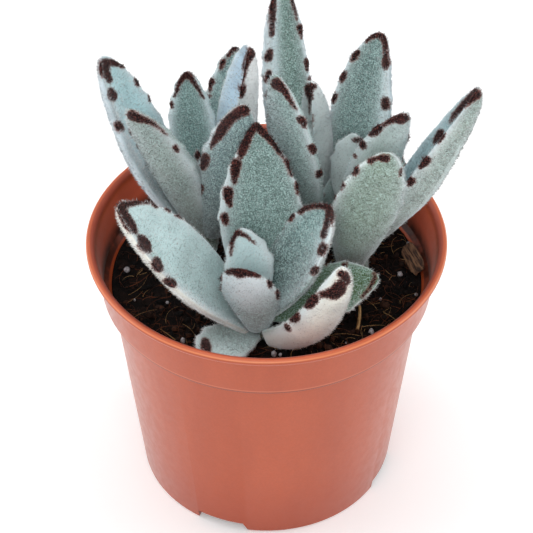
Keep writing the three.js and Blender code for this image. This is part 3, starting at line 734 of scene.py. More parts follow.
# How far hairs stand out of the skin, least and most, how much more along a margin, and how far
# each is turned by the way to the tip, by the swirls and by chance.
STAND, STAND_MORE, LEAN, SWIRL, STRAY, LEAST_STAND = (0.4, 1.0), 0.8, 0.7, 0.22, 0.3, 0.25
MARK_FUZZ = 0.36         # how far dark hairs stray over the edge of a mark, and white ones into it
FOOT_BARE = 0.3          # share of the length below which leaves hide their own felt
UNSEEN = ("b8", "b9", "b10", "c6", "d5", "d6")
WHITE_HAIR, RED_HAIR, WHITE_NAP = paint(236, 242, 244), paint(112, 66, 60), paint(202, 232, 228)
DARK_HAIR, DARK_HAIR_LIT = paint(10, 3, 4), paint(146, 98, 88)


def spike(bm):
    bmesh.ops.create_cone(bm, cap_ends=True, segments=3, radius1=1, radius2=0, depth=1)
    bmesh.ops.remove_doubles(bm, verts=bm.verts, dist=1e-4)
    bmesh.ops.translate(bm, verts=bm.verts, vec=(0, 0, 0.5))


def sow(grid, felt, draw):
    """Roots for hairs all over a grid, denser where the felt is thicker: how many there are,
    and a function that reads a grid's values at each of them."""
    rows, columns = grid.shape[:2]
    cell = np.linalg.norm(round_step(grid), axis=-1) / 2
    cell = cell * np.linalg.norm(np.gradient(grid, axis=0), axis=-1) * felt
    cell[:2] = 0
    cell[-1] = 0
    count = int(cell.sum() * HAIRS_PER_MM2)
    picked = draw.choice(cell.size, size=count, p=(cell / cell.sum()).ravel())
    row, column = np.unravel_index(picked, cell.shape)
    row = np.clip(row + draw.uniform(-0.5, 0.5, count), 1, rows - 1.001)
    column = column + draw.uniform(-0.5, 0.5, count)
    low, left = np.floor(row).astype(int), np.floor(column).astype(int)
    a, b = left % columns, (left + 1) % columns

    def read(values):
        more = (slice(None),) + (None,) * (values.ndim - 2)
        up, right = (row - low)[more], (column - left)[more]
        return mixed(mixed(values[low, a], values[low, b], right),
                     mixed(values[low + 1, a], values[low + 1, b], right), up)

    return count, read


def comb(root, normal, lean, edge, draw):
    """Directions of the hairs: out of the skin, over towards the tip, and in loose swirls."""
    x, y, z = root.T
    swirl = np.stack([np.sin(y * 0.9 + z * 0.7), np.sin(z * 0.8 + 1.3),
                      np.sin(x * 0.9 - z * 0.5)], -1)
    stand = draw.uniform(*STAND, len(root)) + STAND_MORE * edge
    stray = draw.normal(0, STRAY, root.shape)
    way = unit(normal * stand[:, None] + lean * LEAN + swirl * SWIRL + stray)
    return unit(way + normal * np.maximum(LEAST_STAND - (way * normal).sum(1), 0)[:, None])


def hair_colours(skin_tone, edge, inside, draw):
    """White on the skin and whiter along the margins as painted rim light, dark inside a mark and
    reddish at its rim.
    """
    strength = draw.uniform(0, 1, (len(edge), 1))
    # Painted rim light: hairs near a margin are made brighter.
    bright = 0.06 + 0.3 * edge + (1 - 0.25 * edge) * strength ** 2
    pale = np.clip((skin_tone[:, 1:2] - 0.4) / 0.4, 0, 1)
    white = np.minimum(skin_tone * (0.35 + 0.3 * pale) + WHITE_HAIR * bright, 0.92)
    red = RED_HAIR * (0.7 + 0.9 * strength)
    dark = mixed(DARK_HAIR, DARK_HAIR_LIT, strength ** 2)
    rim = np.clip((inside + 0.6) / 0.5, 0, 1) * 0.7
    return np.where(inside > 0.1, dark, mixed(white, red, rim))


def sort_faces(mesh, skin_faces, marks):
    """Gives a felted mesh its materials: 0 on skin, 1 on hair and 2 on marked skin."""
    index = np.ones(len(mesh.polygons), dtype=np.int32)
    corners = read_whole(mesh.loops, "vertex_index")
    highest = np.maximum.reduceat(marks[corners], read_whole(mesh.polygons, "loop_start"))
    index[:skin_faces] = np.where(highest[:skin_faces] > 0, 2, 0)
    mesh.polygons.foreach_set("material_index", index)


def felted_piece(name, node, grid, along, tone, spot, fringe, felt, beads, draw, materials):
    """A closed skin over a grid of points, from the foot's pole to the tip's, and the felt on
    it: short spikes that lean towards the tip, white on the skin and dark on the marks. Fringe
    is 1 along the margins, where hairs are longer, stand up and are painted whiter as rim light,
    and felt is how thick it is."""
    rows, columns = grid.shape[:2]
    count, read = sow(grid, felt, draw)
    root, normal, edge = read(grid), unit(read(outward(grid))), read(fringe)
    inside = draw.normal(0, MARK_FUZZ, count) + (mark_depth(root, beads) if beads else BARE)
    way = comb(root, normal, unit(read(along)), edge, draw)
    length = draw.uniform(*HAIR_LENGTH, count) * (1 + 0.15 * edge)
    width = HAIR_RADIUS * draw.uniform(0.8, 1.25, count) * np.where(inside > 0, 1.15, 1.0)
    first, second = frames(way, draw.uniform(0, 2 * math.pi, count))
    spike_mesh, local = template(spike)
    shapes = local[None] * np.stack([width, width, length], -1)[:, None]
    hairs = turned(shapes, root - normal * HAIR_SUNK, first, second, way)
    hair_colour = hair_colours(read(tone), edge[:, None], inside[:, None], draw)

    # The skin's ball goes in as a finished mesh, so that its vertices come before the hairs'.
    ball_mesh, ball = template(lambda bm: bmesh.ops.create_uvsphere(
        bm, u_segments=columns, v_segments=rows - 1, radius=1))
    skin_faces = len(ball_mesh.polygons)
    bm = bmesh.new()
    bm.from_mesh(ball_mesh)
    add_copies(bm, spike_mesh, count)
    mesh = built(name, bm)
    for scrap in (spike_mesh, ball_mesh):
        bpy.data.meshes.remove(scrap)
    ball_row, turn = ball_rows(ball, rows)
    at = ball_row, np.round(turn / (2 * math.pi) * columns).astype(int) % columns
    write_places(mesh, np.concatenate([grid[at], hairs.reshape(-1, 3)]))
    write_colour(mesh, "tone", np.concatenate([tone[at], np.repeat(hair_colour, len(local), axis=0)]))
    marks = np.concatenate([spot[at], np.zeros(count * len(local))])
    write_value(mesh, "mark", marks)
    sort_faces(mesh, skin_faces, marks)
    return finish_mesh(name, mesh, materials, (node,))


def degrees_off(angles, middle):
    return np.abs((np.degrees(angles) - middle + 180) % 360 - 180)


def margin_ways(name, angles):
    """For each angle round the blade: 1 on the upper side of its margins and 0 under them, and
    the angle to the nearer margin in degrees."""
    left, right = MARGINS.get(name, USUAL_MARGINS)
    half = (right - left) / 2
    away = degrees_off(angles, (left + right) / 2)
    return np.clip((half - away) / MARGIN_BLUR + 0.5, 0, 1), np.abs(away - half)


def leaf_tone(name, grid, shares, angles):
    """Skin colour of each point: paler at the margins as a painted sheen, with painted streaks of
    light on some leaves, and darker at some leaves' feet as painted shade.
    """
    upper, under = SKINS.get(name, USUAL_SKINS)
    over, gap = margin_ways(name, angles)
    tone = mixed(paint(*under), paint(*upper), over[None, :, None])
    tone = np.repeat(tone, len(shares), axis=0)
    # Painted sheen: paler towards the margins.
    pale = PALE_SHARE * np.clip(1 - gap / PALE_REACH, 0, 1)[None, :, None] ** 1.3
    tone = mixed(tone, FRINGE_SKIN, pale * np.clip(shares / 0.3, 0.3, 1)[:, None, None])
    # Painted light: a pale streak along the blade where light falls on it.
    if name in LIT_STREAKS:
        middle, half, share = LIT_STREAKS[name]
        streak = share * np.exp(-(degrees_off(angles, middle) / half) ** 2)
        tone = mixed(tone, LIT_STREAK_SKIN, streak[None, :, None])
    # Painted shade towards the foot of the leaves in DIM_FEET.
    rise = np.clip((shares - DIM_FROM) / DIM_OVER, 0, 1)[:, None, None] ** 1.2
    return tone * mixed(DIM_FEET.get(name, 1), 1, rise) * (1 + 0.16 * noise_on(grid, 0.12)[..., None])


LEAF_COLUMNS, LEAST_ROWS, ROWS_PER_MM = 44, 30, 0.95
CROWDING, CROWD_REACH = 2.2, 26          # of columns at a margin, and over how many degrees


def leaf_rows(long):
    """Shares of the length, closer together in the outer half and at both ends."""
    fine = np.linspace(0, 1, 600)
    weight = 1 + 0.7 / (1 + np.exp(-(fine - 0.38) / 0.03))
    weight = weight + 2.5 * np.exp(-fine / 0.03) + 3.0 * np.exp(-(1 - fine) / 0.025)
    return spaced(fine, weight, max(LEAST_ROWS, round(long * ROWS_PER_MM)))


def leaf_columns(name):
    """Angles round the blade, closer together at its margins."""
    fine = np.linspace(0, 2 * math.pi, 721)
    weight = 1 + CROWDING * np.exp(-(margin_ways(name, fine)[1] / CROWD_REACH) ** 2)
    return spaced(fine, weight, LEAF_COLUMNS)[:-1]


def make_leaf(name, leaf, seed, materials):
    shares = leaf_rows(leaf[3])
    angles = leaf_columns(name)
    grid, along = leaf_skin(leaf, shares, angles)
    beads = mark_beads(name, leaf)
    spot = mark_depth(grid, beads)
    tone = leaf_tone(name, grid, shares, angles)
    proud = SKIN_PROUD + SKIN_SWAY * noise_on(grid, 0.16, (seed, 0, 0))
    proud = proud + MARK_PROUD * np.clip(spot / MARK_FULL, 0, 1)
    proud[0] = 0
    grid = grid + outward(grid) * proud[..., None]
    grid[0], grid[-1] = grid[0, :1], grid[-1, :1]
    pressed = press_back("leaf_" + name, grid)
    fringe = np.clip(1 - margin_ways(name, angles)[1] / FRINGE_REACH, 0, 1)
    fringe = np.tile(fringe, (len(shares), 1))
    felt = np.clip((shares - FOOT_BARE) / 0.06, 0.3, 1)[:, None] * (1 + 0.5 * fringe)
    felt = felt * ~pressed * (0.5 if name in UNSEEN else 1.0)
    felted_piece("felted_leaf_" + name, "leaf_" + name, grid, along, tone, spot, fringe, felt,
                 beads, np.random.default_rng(seed), materials)


STEMS = {
    "a": ((-2.5, -25.5, 80), (-3, -21, 98)),
    "b": ((-21, 15, 80), (-19, 16.5, 104)),
    "c": ((30, 3, 80), (30, 5, 103)),
    "d": ((14, 12, 80), (15.5, 14, 104)),
}
STEM_FOOT, STEM_TIP, STEM_SUNK = 4.6, 3.3, 3.0       # radii, and depth in the soil
STEM_ROWS, STEM_COLUMNS = 22, 24
STEM_LUMP, STEM_FELT, STEM_SKIN = 0.25, 0.5, paint(128, 140, 116)


def make_stem(name, ends, seed, materials):
    foot, tip = (np.array(end, dtype=float) for end in ends)
    length = np.linalg.norm(tip - foot)
    way = (tip - foot) / length
    first, second = frames(way[None, :], np.zeros(1))
    height = np.linspace(-STEM_SUNK, length, STEM_ROWS + 1)
    radius = np.interp(height, [0, length - 2, length], [STEM_FOOT, STEM_TIP, 0])
    radius[0] = 0
    angles = np.arange(STEM_COLUMNS) * 2 * math.pi / STEM_COLUMNS
    ring = first * np.cos(angles)[:, None] + second * np.sin(angles)[:, None]
    grid = foot + way * height[:, None, None] + ring[None] * radius[:, None, None]
    lump = noise_on(grid, 0.35)
    grid = grid + ring[None] * (lump * STEM_LUMP * (radius[:, None] > 0))[..., None]
    tone = STEM_SKIN * (1 + 0.3 * lump[..., None])
    bare = np.full(grid.shape[:2], BARE)
    felted_piece("felted_stem_" + name, "stem_" + name, grid, np.broadcast_to(way, grid.shape),
                 tone, bare, np.zeros_like(bare), np.full_like(bare, STEM_FELT), None,
                 np.random.default_rng(seed), materials)


def skin_material(name, sheen):
    """Skin with the nap of its felt; where the mark value is above 0 it is dark."""
    skin, _, node = new_material(name, paint(120, 145, 135), 0.85, specular=0.2, sheen=sheen,
                                 sheen_roughness=0.45, sheen_tint=(0.88, 0.95, 1.0, 1))
    tone = attribute(node, "tone")
    rough = maths(node, "MULTIPLY_ADD", grain(node, 0.6, 3), 1.8, -0.9)
    mark = maths(node, "ADD", attribute(node, "mark", "Fac"), rough)
    speckle = grain(node, 0.37, 4)
    nap = maths(node, "ADD", speckle, times(node, grain(node, 1.5, 2), 0.2))
    under_nap = blend(node, 1.0, tone, (0.54, 0.57, 0.55), "MULTIPLY")
    napped = blend(node, ramp(node, nap, 0.49, 0.78), under_nap, blend(node, 0.7, tone, WHITE_NAP))
    green = node("ShaderNodeSeparateColor", Color=tone).outputs["Green"]
    colour = blend(node, ramp(node, green, 0.45, 0.85, 1.0, 0.2), tone, napped)
    rose = times(node, ramp(node, mark, -0.7, 0.0), 0.8)
    colour = blend(node, rose, colour, paint(134, 84, 74))
    dark = blend(node, ramp(node, speckle, 0.5, 0.66), paint(12, 4, 6), paint(124, 66, 60))
    node.join(blend(node, ramp(node, mark, -0.25, 0.3), colour, dark), "Base Color")
    bump(node, speckle, 0.3, 0.4)
    return skin


def felt_materials():
    hair, _, node = new_material("felt_hair", paint(220, 225, 222), 0.6, specular=0.3)
    node.join(shaded(node, attribute(node, "tone"), 0.85, 1.12, grain(node, 0.5, 1)), "Base Color")
    return [skin_material("felted_skin", 1.0), hair, skin_material("dark_mark", 0.12)]


# ---------------------------------------------------------------- the pot

POT = dict(height=99, lip=60, lip_inner=58.3, lip_fold=97, collar_top=57, collar_foot=55.6,
           collar=80, body_top=52.4, body_foot=44.1, wall=1.0, collar_wall=0.8, pad=22,
           channel_in=24.5, channel_out=36.5, foot_in=38.5, rise=3.0, ledge_drop=1.2,
           ledge_rise=2.0, corner=0.6, fold=0.8)
# Radius and height down the round inside of the lip.
LIP_INSIDE = [(57.9, 98.75), (57.3, 98.2), (56.9, 97.3), (56.5, 95.9), (56.2, 94.0), (55.8, 91.5)]
POT_STEPS, POT_EDGE, POT_EDGE_CUTS = 180, 0.22, 3      # faces round it, and its rounded edges
NOTCHES = dict(count=4, first=-111.5, wide=21.5, slant=3, height=3.8, reach=5.2, outside=1.7)
DRAINS = dict(count=6, first=30, radius=3, ring=30.5, depth=8)


def pot_profile():
    p = POT
    c, w, k = p["corner"], p["wall"], p["collar_wall"]
    return [
        (0, 0), (p["pad"], 0), (p["channel_in"], p["rise"]), (p["channel_out"], p["rise"]),
        (p["foot_in"], 0), (p["body_foot"] - c, 0), (p["body_foot"], c),
        (p["body_top"], p["collar"] - c), (p["body_top"] + 0.5, p["collar"]),
        (p["collar_foot"] - c, p["collar"]), (p["collar_foot"], p["collar"] + c),
        (p["collar_top"], p["lip_fold"] - c), (p["collar_top"] + 0.5, p["lip_fold"]),
        (p["lip"] - c / 2, p["lip_fold"]), (p["lip"], p["lip_fold"] + c),
        (p["lip"], p["height"] - c), (p["lip"] - c, p["height"]),
        (p["lip_inner"] + c / 2, p["height"]), *LIP_INSIDE,
        (p["collar_foot"] - k, p["collar"] + p["ledge_rise"]),
        (p["body_top"] - k, p["collar"] - p["ledge_drop"]), (p["body_foot"] - w, w + c),
        (p["body_foot"] - w - c, w), (p["foot_in"] + p["fold"], w),
        (p["channel_out"] + p["fold"], p["rise"] + w),
        (p["channel_in"] - p["fold"], p["rise"] + w), (p["pad"] - p["fold"], w), (0, w),
    ]


def pot_blank():
    """The profile spun round, with its edges rounded."""
    bm = bmesh.new()
    ring = [bm.verts.new((r * MM, 0, z * MM)) for r, z in pot_profile()]
    edges = [bm.edges.new(pair) for pair in zip(ring, ring[1:])]
    bmesh.ops.spin(bm, geom=ring + edges, cent=(0, 0, 0), axis=(0, 0, 1), steps=POT_STEPS,
                   angle=2 * math.pi, use_merge=True)
    bmesh.ops.remove_doubles(bm, verts=bm.verts, dist=1e-6)
    bmesh.ops.recalc_face_normals(bm, faces=bm.faces)
    corners = [edge for edge in bm.edges
               if len(edge.link_faces) == 2 and edge.calc_face_angle(0) > math.radians(20)]
    bmesh.ops.bevel(bm, geom=corners, offset=POT_EDGE * MM, offset_type="OFFSET", affect="EDGES",
                    segments=POT_EDGE_CUTS, profile=0.5, material=-1, clamp_overlap=True)
    return add_object("pot_blank", built("pot_blank", bm))


def pot_cuts():
    """The notches at the foot and the drain holes, as solids to cut away."""
    cuts = bmesh.new()
    n, d = NOTCHES, DRAINS
    half = POT["body_foot"] * math.tan(math.radians(n["wide"] / 2))
    slant = POT["body_foot"] * math.radians(n["slant"])
    for i in range(n["count"]):
        made = bmesh.ops.create_cube(cuts, size=1)["verts"]
        for vert in made:
            x = POT["body_foot"] + n["outside"] - n["reach"] * (0.5 - vert.co.x)
            low = vert.co.z < 0
            y = (-half if vert.co.y < 0 else half + (slant if low else 0))
            vert.co = Vector((x, y, -1 if low else n["height"])) * MM
        turn = Matrix.Rotation(math.radians(n["first"] + 360 * i / n["count"]), 3, "Z")
        bmesh.ops.rotate(cuts, verts=made, cent=(0, 0, 0), matrix=turn)
    for i in range(d["count"]):
        angle = math.radians(d["first"] + 360 * i / d["count"])
        place = Vector((d["ring"] * math.cos(angle), d["ring"] * math.sin(angle), POT["rise"])) * MM
        bmesh.ops.create_cone(cuts, cap_ends=True, segments=32, radius1=d["radius"] * MM,
                              radius2=d["radius"] * MM, depth=d["depth"] * MM,
                              matrix=Matrix.Translation(place))
    bmesh.ops.recalc_face_normals(cuts, faces=cuts.faces)
    return add_object("pot_cuts", built("pot_cuts", cuts))


def moulded_plastic():
    """Plastic coloured in layers by height and radius in millimetres, each with its share. The layers
    are painted light and shade, and the band over the soil is partly a real stain.
    """
    material, _, node = new_material("moulded_plastic", paint(203, 94, 56), 0.38, specular=0.42,
                                     sheen=0.15, sheen_roughness=0.3)
    sides = node("ShaderNodeSeparateXYZ", Vector=object_place(node))
    flat = node("ShaderNodeCombineXYZ", X=sides.outputs["X"], Y=sides.outputs["Y"])
    length = node("ShaderNodeVectorMath", {"operation": "LENGTH"}, Vector=flat.outputs["Vector"])
    height = times(node, sides.outputs["Z"], 1 / MM)
    radius = times(node, length.outputs["Value"], 1 / MM)
    inside = ramp(node, maths(node, "MULTIPLY_ADD", height, -0.09, radius), 48.1, 47.7)
    over_ledge = times(node, inside, ramp(node, height, 80.1, 80.6))
    lip = ramp(node, radius, 58.3, 59.0)
    collar = ramp(node, radius, 55.2, 55.5)
    stain_patches = ramp(node, grain(node, 5, 3), 0.2, 0.6, 0.6, 0.95)
    layers = {
        # Painted shade: the wall is darker towards the foot.
        "foot": (ramp(node, height, 36, 4, 0, 0.5), (160, 62, 32)),
        # Painted light: the inner wall is paler, standing for light that shines through the thin
        # plastic.
        "inner wall": (over_ledge, (224, 106, 76)),
        # Painted shade: the top of the inner wall, under the lip's edge, is darker.
        "inside of the lip": (times(node, ramp(node, radius, 59.0, 58.2),
                                    ramp(node, height, 96.6, 97.6)), (164, 72, 50)),
        # Partly a stain from the soil and partly painted shade: the inner wall is dark in patches over
        # the soil.
        "soil stain and shade": (times(node, ramp(node, height, 89.5, 82.5), over_ledge, stain_patches), (46, 28, 22)),
        # Painted light: the top of the lip is lighter, where light falls on it and shines through it.
        "top of the lip": (times(node, lip, ramp(node, height, 98.0, 98.7)), (198, 96, 60)),
        "glint on the lip": (times(node, ramp(node, radius, 59.2, 59.5),
                                   band(node, height, 98.6, 0.4), 0.7), (236, 146, 100)),
        # Painted light: a pale band along the underside of the lip.
        "under the lip": (times(node, band(node, height, 97.2, 1.1), 0.35, lip), (196, 112, 98)),
        # Painted highlight and painted shadow: a pale line and, below it, a dark line along the
        # collar's foot.
        "pale line": (times(node, band(node, height, 81.4, 0.5), 0.4, collar), (214, 134, 104)),
        "dark line": (times(node, band(node, height, 80.7, 0.5), 0.8, collar), (104, 48, 36)),
    }
    cloud = ramp(node, grain(node, 14, 4, (1, 1, 0.25)), 0.3, 0.7)
    speck = ramp(node, grain(node, 0.8, 3), 0.3, 0.75, 0.96, 1.04)
    body = blend(node, cloud, paint(176, 76, 40), paint(184, 82, 45))
    body = blend(node, 1.0, body, grey(node, speck), "MULTIPLY")
    for share, colour in layers.values():
        body = blend(node, share, body, paint(*colour))
    node.join(body, "Base Color")
    node.join(ramp(node, grain(node, 3, 3), 0.3, 0.7, 0.28, 0.36), "Roughness")
    bump(node, grain(node, 1.1, 2), 0.03, 0.15)
    return material


def make_pot():
    blank, knife = pot_blank(), pot_cuts()
    cut = blank.modifiers.new("cut", "BOOLEAN")
    cut.operation = "DIFFERENCE"
    cut.solver = "EXACT"
    cut.object = knife
    bpy.context.view_layer.update()
    ready = blank.evaluated_get(bpy.context.evaluated_depsgraph_get())
    mesh = bpy.data.meshes.new_from_object(ready)
    for scrap in (blank, knife):
        bpy.data.objects.remove(scrap)
    mesh.name = "moulded_pot"
    mesh.shade_smooth()
    mesh.set_sharp_from_angle(angle=math.radians(35))
    mesh.materials.clear()
    finish_mesh("moulded_pot", mesh, [moulded_plastic()], ("pot",), smooth=False)


# ---------------------------------------------------------------- the soil and what lies on it

SOIL = dict(edge=80.0, mound=81.6, reach=52.3, lump=0.7, calm=0.6, shoulder=78.9, floor=4.5,
            floor_radius=43.2, shoulder_radius=51.2, columns=260, rings=58, crumb=1.3, clod=0.7,
            sunk=0.9, calm_rim=2.5)
# Loose bits: how many, how far out they start, and the seed of their draws.
CRUMBS = dict(count=1500, reach=50.5, seed=41)
FIBRES = dict(count=1300, reach=50.0, seed=43)
BITS_REACH = 51.2                        # no part of a bit lies farther out


def waves(x, y):
    broad = np.sin(x * 0.31 + 1.7) * np.cos(y * 0.27 - 0.6)
    fine = np.sin(x * 0.83 - y * 0.41) * np.cos(y * 0.71 + x * 0.23 + 2.1)
    return 0.6 * broad + 0.4 * fine


def soil_height(x, y):
    out = np.clip(np.hypot(x, y) / SOIL["reach"], 0, 1)
    swell = (SOIL["mound"] - SOIL["edge"]) * (1 - out * out)
    return SOIL["edge"] + swell + SOIL["lump"] * waves(x, y) * (1 - SOIL["calm"] * out ** 4)


def soil_materials():
    peat, _, node = new_material("peat", paint(30, 20, 15), 0.95, specular=0.2)
    coarse, fine = grain(node, 5, 6), grain(node, 0.7, 4)
    colour = blend(node, ramp(node, coarse, 0.35, 0.7), paint(4, 3, 3), paint(26, 16, 12))
    colour = blend(node, ramp(node, fine, 0.55, 0.8, 0, 0.5), colour, paint(56, 33, 23))
    node.join(colour, "Base Color")
    bump(node, fine, 0.6, 0.9)

    bits, _, node = new_material("peat_bits", paint(60, 38, 25), 0.9, specular=0.25)
    fine = grain(node, 0.5, 3)
    node.join(shaded(node, attribute(node, "tone"), 0.6, 1.3, fine), "Base Color")
    bump(node, fine, 0.3, 0.8)
    return peat, bits


def make_soil(peat):
    """The pot's filling: a ball laid over the plug, with crumbs raised on its top."""
    floor, rim = SOIL["floor"], SOIL["floor_radius"]
    wall = [(0, floor), (30, floor), (rim, floor), (rim + 0.2, floor + 1.5), (47.0, 40),
            (51.0, 77), (SOIL["shoulder_radius"], SOIL["shoulder"])]
    rings = np.linspace(SOIL["reach"], 0, SOIL["rings"])
    rows = wall + [(radius, SOIL["edge"]) for radius in rings]
    bm = bmesh.new()
    bmesh.ops.create_uvsphere(bm, u_segments=SOIL["columns"], v_segments=len(rows) - 1, radius=1)
    mesh = built("soil", bm)
    row, turn = ball_rows(read_places(mesh), len(rows))
    radius, height = np.array(rows)[row].T
    places = np.stack([radius * np.cos(turn), radius * np.sin(turn), height], -1)
    for i in np.nonzero(row >= len(wall))[0]:
        x, y, _ = places[i]
        calm = min(1, (SOIL["reach"] - radius[i]) / SOIL["calm_rim"])
        spot = Vector((x, y, 0))
        crumb = SOIL["crumb"] * noise.turbulence(spot * 0.45, 4, True)
        clod = SOIL["clod"] * noise.noise(spot * 0.22 + Vector((7, 3, 0)))
        places[i, 2] = soil_height(x, y) + calm * (crumb - SOIL["sunk"] + clod)
    write_places(mesh, places)
    finish_mesh("potting_soil", mesh, [peat], ("soil",))


def rock(bm):
    bmesh.ops.create_icosphere(bm, subdivisions=1, radius=1)


def pebble(bm):
    bmesh.ops.create_icosphere(bm, subdivisions=3, radius=1)


def rod(bm, sides, tip, cuts):
    """A thin rod along z, cut across so that it can be bent."""
    bmesh.ops.create_cone(bm, cap_ends=True, segments=sides, radius1=1, radius2=tip, depth=1)
    long_ones = [edge for edge in bm.edges if abs(edge.verts[0].co.z - edge.verts[1].co.z) > 0.5]
    bmesh.ops.subdivide_edges(bm, edges=long_ones, cuts=cuts)


def thread(bm):
    rod(bm, 3, 1, 7)
    bmesh.ops.triangulate(bm, faces=bm.faces)
    bmesh.ops.translate(bm, verts=bm.verts, vec=(0, 0, 0.5))


def scatter_places(draw, count, reach, **_):
    radius = reach * np.sqrt(draw.uniform(0, 1, count))
    turn = draw.uniform(0, 2 * math.pi, count)
    x, y = radius * np.cos(turn), radius * np.sin(turn)
    return np.stack([x, y, soil_height(x, y)], -1)


def copies_piece(name, shape, count, places, tones, material, smooth=True):
    """One piece of many copies of a shape; places gives their points from the shape's own."""
    mesh_one, local = template(shape)
    bm = bmesh.new()
    add_copies(bm, mesh_one, count)
    mesh = built(name, bm)
    bpy.data.meshes.remove(mesh_one)
    write_places(mesh, places(local).reshape(-1, 3))
    write_colour(mesh, "tone", np.repeat(tones, len(local), axis=0))
    finish_mesh(name, mesh, [material], (), smooth)


def make_crumbs(bits):
    draw = np.random.default_rng(CRUMBS["seed"])
    count = CRUMBS["count"]
    middle = scatter_places(draw, **CRUMBS)
    size = 0.35 + 1.25 * draw.uniform(0, 1, count) ** 2.2
    squash = draw.uniform(0.5, 1.2, (count, 3)) * size[:, None]
    middle[:, 2] += size * 0.1
    edge = np.hypot(middle[:, 0], middle[:, 1]) + size * 1.2
    middle[:, :2] *= np.minimum(1, BITS_REACH / edge)[:, None]
    way = unit(draw.normal(0, 1, (count, 3)))
    first, second = frames(way, draw.uniform(0, 2 * math.pi, count))
    jag = draw.uniform(0.72, 1.25, (count, 12, 1))

    def places(local):
        shapes = local[None] * jag[:, :len(local)] * squash[:, None, :]
        return turned(shapes, middle, first, second, way)

    shade = draw.uniform(0, 1, (count, 1)) ** 2.8
    tones = mixed(paint(5, 4, 4), paint(74, 45, 31), shade)
    copies_piece("peat_crumbs", rock, count, places, tones, bits, smooth=False)


def make_fibres(bits):
    draw = np.random.default_rng(FIBRES["seed"])
    count = FIBRES["count"]
    start = scatter_places(draw, **FIBRES)
    start[:, 2] += draw.uniform(0.0, 1.0, count)
    heading = draw.uniform(0, 2 * math.pi, (count, 1))
    length = 2.5 + 9 * draw.uniform(0, 1, (count, 1)) ** 1.8
    thin = np.where(draw.uniform(0, 1, (count, 1)) < 0.1, 0.17, 0.085)
    thin = thin * draw.uniform(0.7, 1.3, (count, 1))
    curl = draw.normal(0, 0.09, (count, 1))
    rise = draw.uniform(0.05, 0.75, (count, 1))
    arch = draw.uniform(0.2, 1.3, (count, 1)) * rise

    def places(local):
        t = local[None, :, 2]
        turn = heading + curl * length * t
        x = start[:, 0:1] + length * t * np.cos(turn)
        y = start[:, 1:2] + length * t * np.sin(turn)
        keep = np.minimum(1, BITS_REACH / np.hypot(x, y))
        x, y = x * keep, y * keep
        lift = length * (rise * t - arch * t * t) * 0.6
        z = np.maximum(start[:, 2:3], soil_height(x, y)) + lift + 0.1
        side = np.stack([-np.sin(turn), np.cos(turn), np.zeros_like(turn)], -1)
        taper = (thin * (1 - 0.6 * t))[..., None]
        return (np.stack([x, y, z], -1) + side * taper * local[None, :, 0:1]
                + np.array(UP) * taper * local[None, :, 1:2])

    pick = draw.uniform(0, 1, (count, 1))
    tan, russet, dark = paint(188, 148, 100), paint(118, 68, 44), paint(52, 30, 22)
    tones = np.where(pick < 0.2, tan, np.where(pick < 0.62, russet, dark))
    tones = tones * draw.uniform(0.7, 1.2, (count, 1))
    copies_piece("peat_fibres", thread, count, places, tones, bits)


# Grains of perlite: place along X and Y, and radius.
PERLITE_SEED = 47
PERLITE = [(-47.3, 2.9, 1.3), (-27.3, -32, 1.2), (2.4, -38.1, 1.3), (34.3, -27.8, 1.4),
           (45.1, 0.4, 1.2), (50.1, -9.5, 0.8), (48.8, 16.3, 0.9), (4.5, -38.6, 0.9),
           (-20, 40, 1.2), (18, 44, 1.1), (-38, 27, 0.9), (40, 27, 1.0), (2, 33, 1.1),
           (-33, -14, 0.6), (26, -33, 0.6), (-44, -12, 0.6), (38, -12, 0.7)]


def make_perlite():
    draw = np.random.default_rng(PERLITE_SEED)
    x, y, size = np.array(PERLITE).T
    count = len(size)
    middle = np.stack([x, y, soil_height(x, y) + 0.45 * size], -1)
    squash = size[:, None] * draw.uniform(0.6, 0.95, (count, 3))

    def places(local):
        bumps = 1 + np.array([0.22 * noise_on([local], 1.7, (i * 5.0, 0, 0))[0]
                              + 0.1 * noise_on([local], 4, (0, i * 5.0, 0))[0]
                              for i in range(count)])
        return middle[:, None] + local[None] * squash[:, None] * bumps[..., None]

    material, _, node = new_material("perlite", paint(196, 190, 190), 0.9)
    fine = grain(node, 0.6, 4)
    join_two(node, fine, 0.3, 0.7, (120, 112, 112), (190, 186, 190))
    bump(node, fine, 0.25, 0.8)
    tones = np.tile(paint(200, 195, 195), (count, 1))
    copies_piece("perlite_grains", pebble, count, places, tones, material)


BARK = dict(at=(50.3, 7.2, 81.4), long=16, wide=7, thick=1.8, tilt=-36, turn=108)


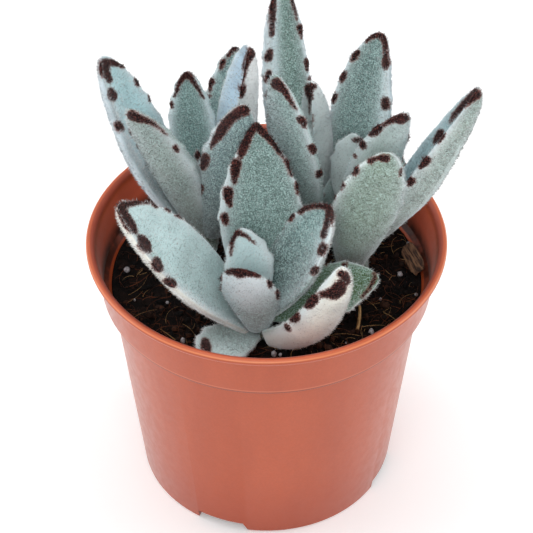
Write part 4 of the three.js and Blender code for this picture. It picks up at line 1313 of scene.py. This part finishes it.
def make_bark():
    b = BARK
    bm = bmesh.new()
    bmesh.ops.create_uvsphere(bm, u_segments=48, v_segments=32, radius=1)
    turn = Matrix.Rotation(math.radians(b["turn"]), 3, "Z")
    tilt = turn @ Matrix.Rotation(math.radians(b["tilt"]), 3, "X")
    for vert in bm.verts:
        here = Vector([math.copysign(abs(value) ** 0.6, value) for value in vert.co])
        crack = noise.noise(Vector((here.x * 1.2, here.y * 7, here.z * 2)))
        chip = noise.noise(Vector((here.x * 4, here.y * 2, 3.0)))
        flat = Vector((b["long"] * 0.44 * here.x * (1 + 0.12 * chip),
                       b["wide"] * 0.42 * here.y * (1 + 0.15 * chip),
                       b["thick"] * 0.5 * (1 + here.z * (1 + 0.45 * crack))))
        vert.co = (tilt @ flat + Vector(b["at"])) * MM
    bmesh.ops.recalc_face_normals(bm, faces=bm.faces)
    material, _, node = new_material("bark_wood", paint(96, 66, 48), 0.9)
    along = node("ShaderNodeVectorRotate", {"rotation_type": "Z_AXIS"}, Vector=object_place(node),
                 Angle=math.radians(-b["turn"]))
    lines = grain(node, 1 / 1.4, 4, (0.12, 1, 1), along.outputs["Vector"])
    join_two(node, lines, 0.35, 0.65, (44, 27, 20), (134, 98, 72))
    bump(node, lines, 0.5, 0.9)
    finish_mesh("bark_flake", built("bark_flake", bm), [material], ("bark_chip",))


STRAW = dict(foot=(29.8, -27, 81.4), lean=(0.9, 7.5, 3.6), radius=0.6, bow=0.35)


def make_straw():
    bm = bmesh.new()
    rod(bm, 10, 0.8, 12)
    lean = Vector(STRAW["lean"])
    turn = UP.rotation_difference(lean).to_matrix()
    for vert in bm.verts:
        t = vert.co.z + 0.5
        knot = STRAW["radius"] * (1 + 0.18 * math.exp(-((t - 0.45) / 0.05) ** 2))
        bow = STRAW["bow"] * math.sin(math.pi * t)
        local = Vector((vert.co.x * knot + bow, vert.co.y * knot, t * lean.length))
        vert.co = (turn @ local + Vector(STRAW["foot"])) * MM
    bmesh.ops.recalc_face_normals(bm, faces=bm.faces)
    material, _, node = new_material("dry_straw", paint(170, 128, 78), 0.7)
    streak = grain(node, 0.4, 3, (1, 0.15, 0.3))
    join_two(node, streak, 0.3, 0.7, (120, 82, 46), (196, 158, 104))
    bump(node, streak, 0.15, 0.6)
    finish_mesh("straw_bit", built("straw_bit", bm), [material], ("straw",))


# ---------------------------------------------------------------- all of it

FIRST_STEM_SEED, FIRST_LEAF_SEED = 300, 100

set_camera()
set_light()
add_floor()
make_pot()
peat_ground, peat_bits = soil_materials()
make_soil(peat_ground)
make_crumbs(peat_bits)
make_fibres(peat_bits)
make_perlite()
make_bark()
make_straw()
felt_looks = felt_materials()
for seed, (stem_name, stem_ends) in enumerate(STEMS.items(), FIRST_STEM_SEED):
    make_stem(stem_name, stem_ends, seed, felt_looks)
for seed, (leaf_name, leaf_shape) in enumerate(LEAVES.items(), FIRST_LEAF_SEED):
    make_leaf(leaf_name, leaf_shape, seed, felt_looks)
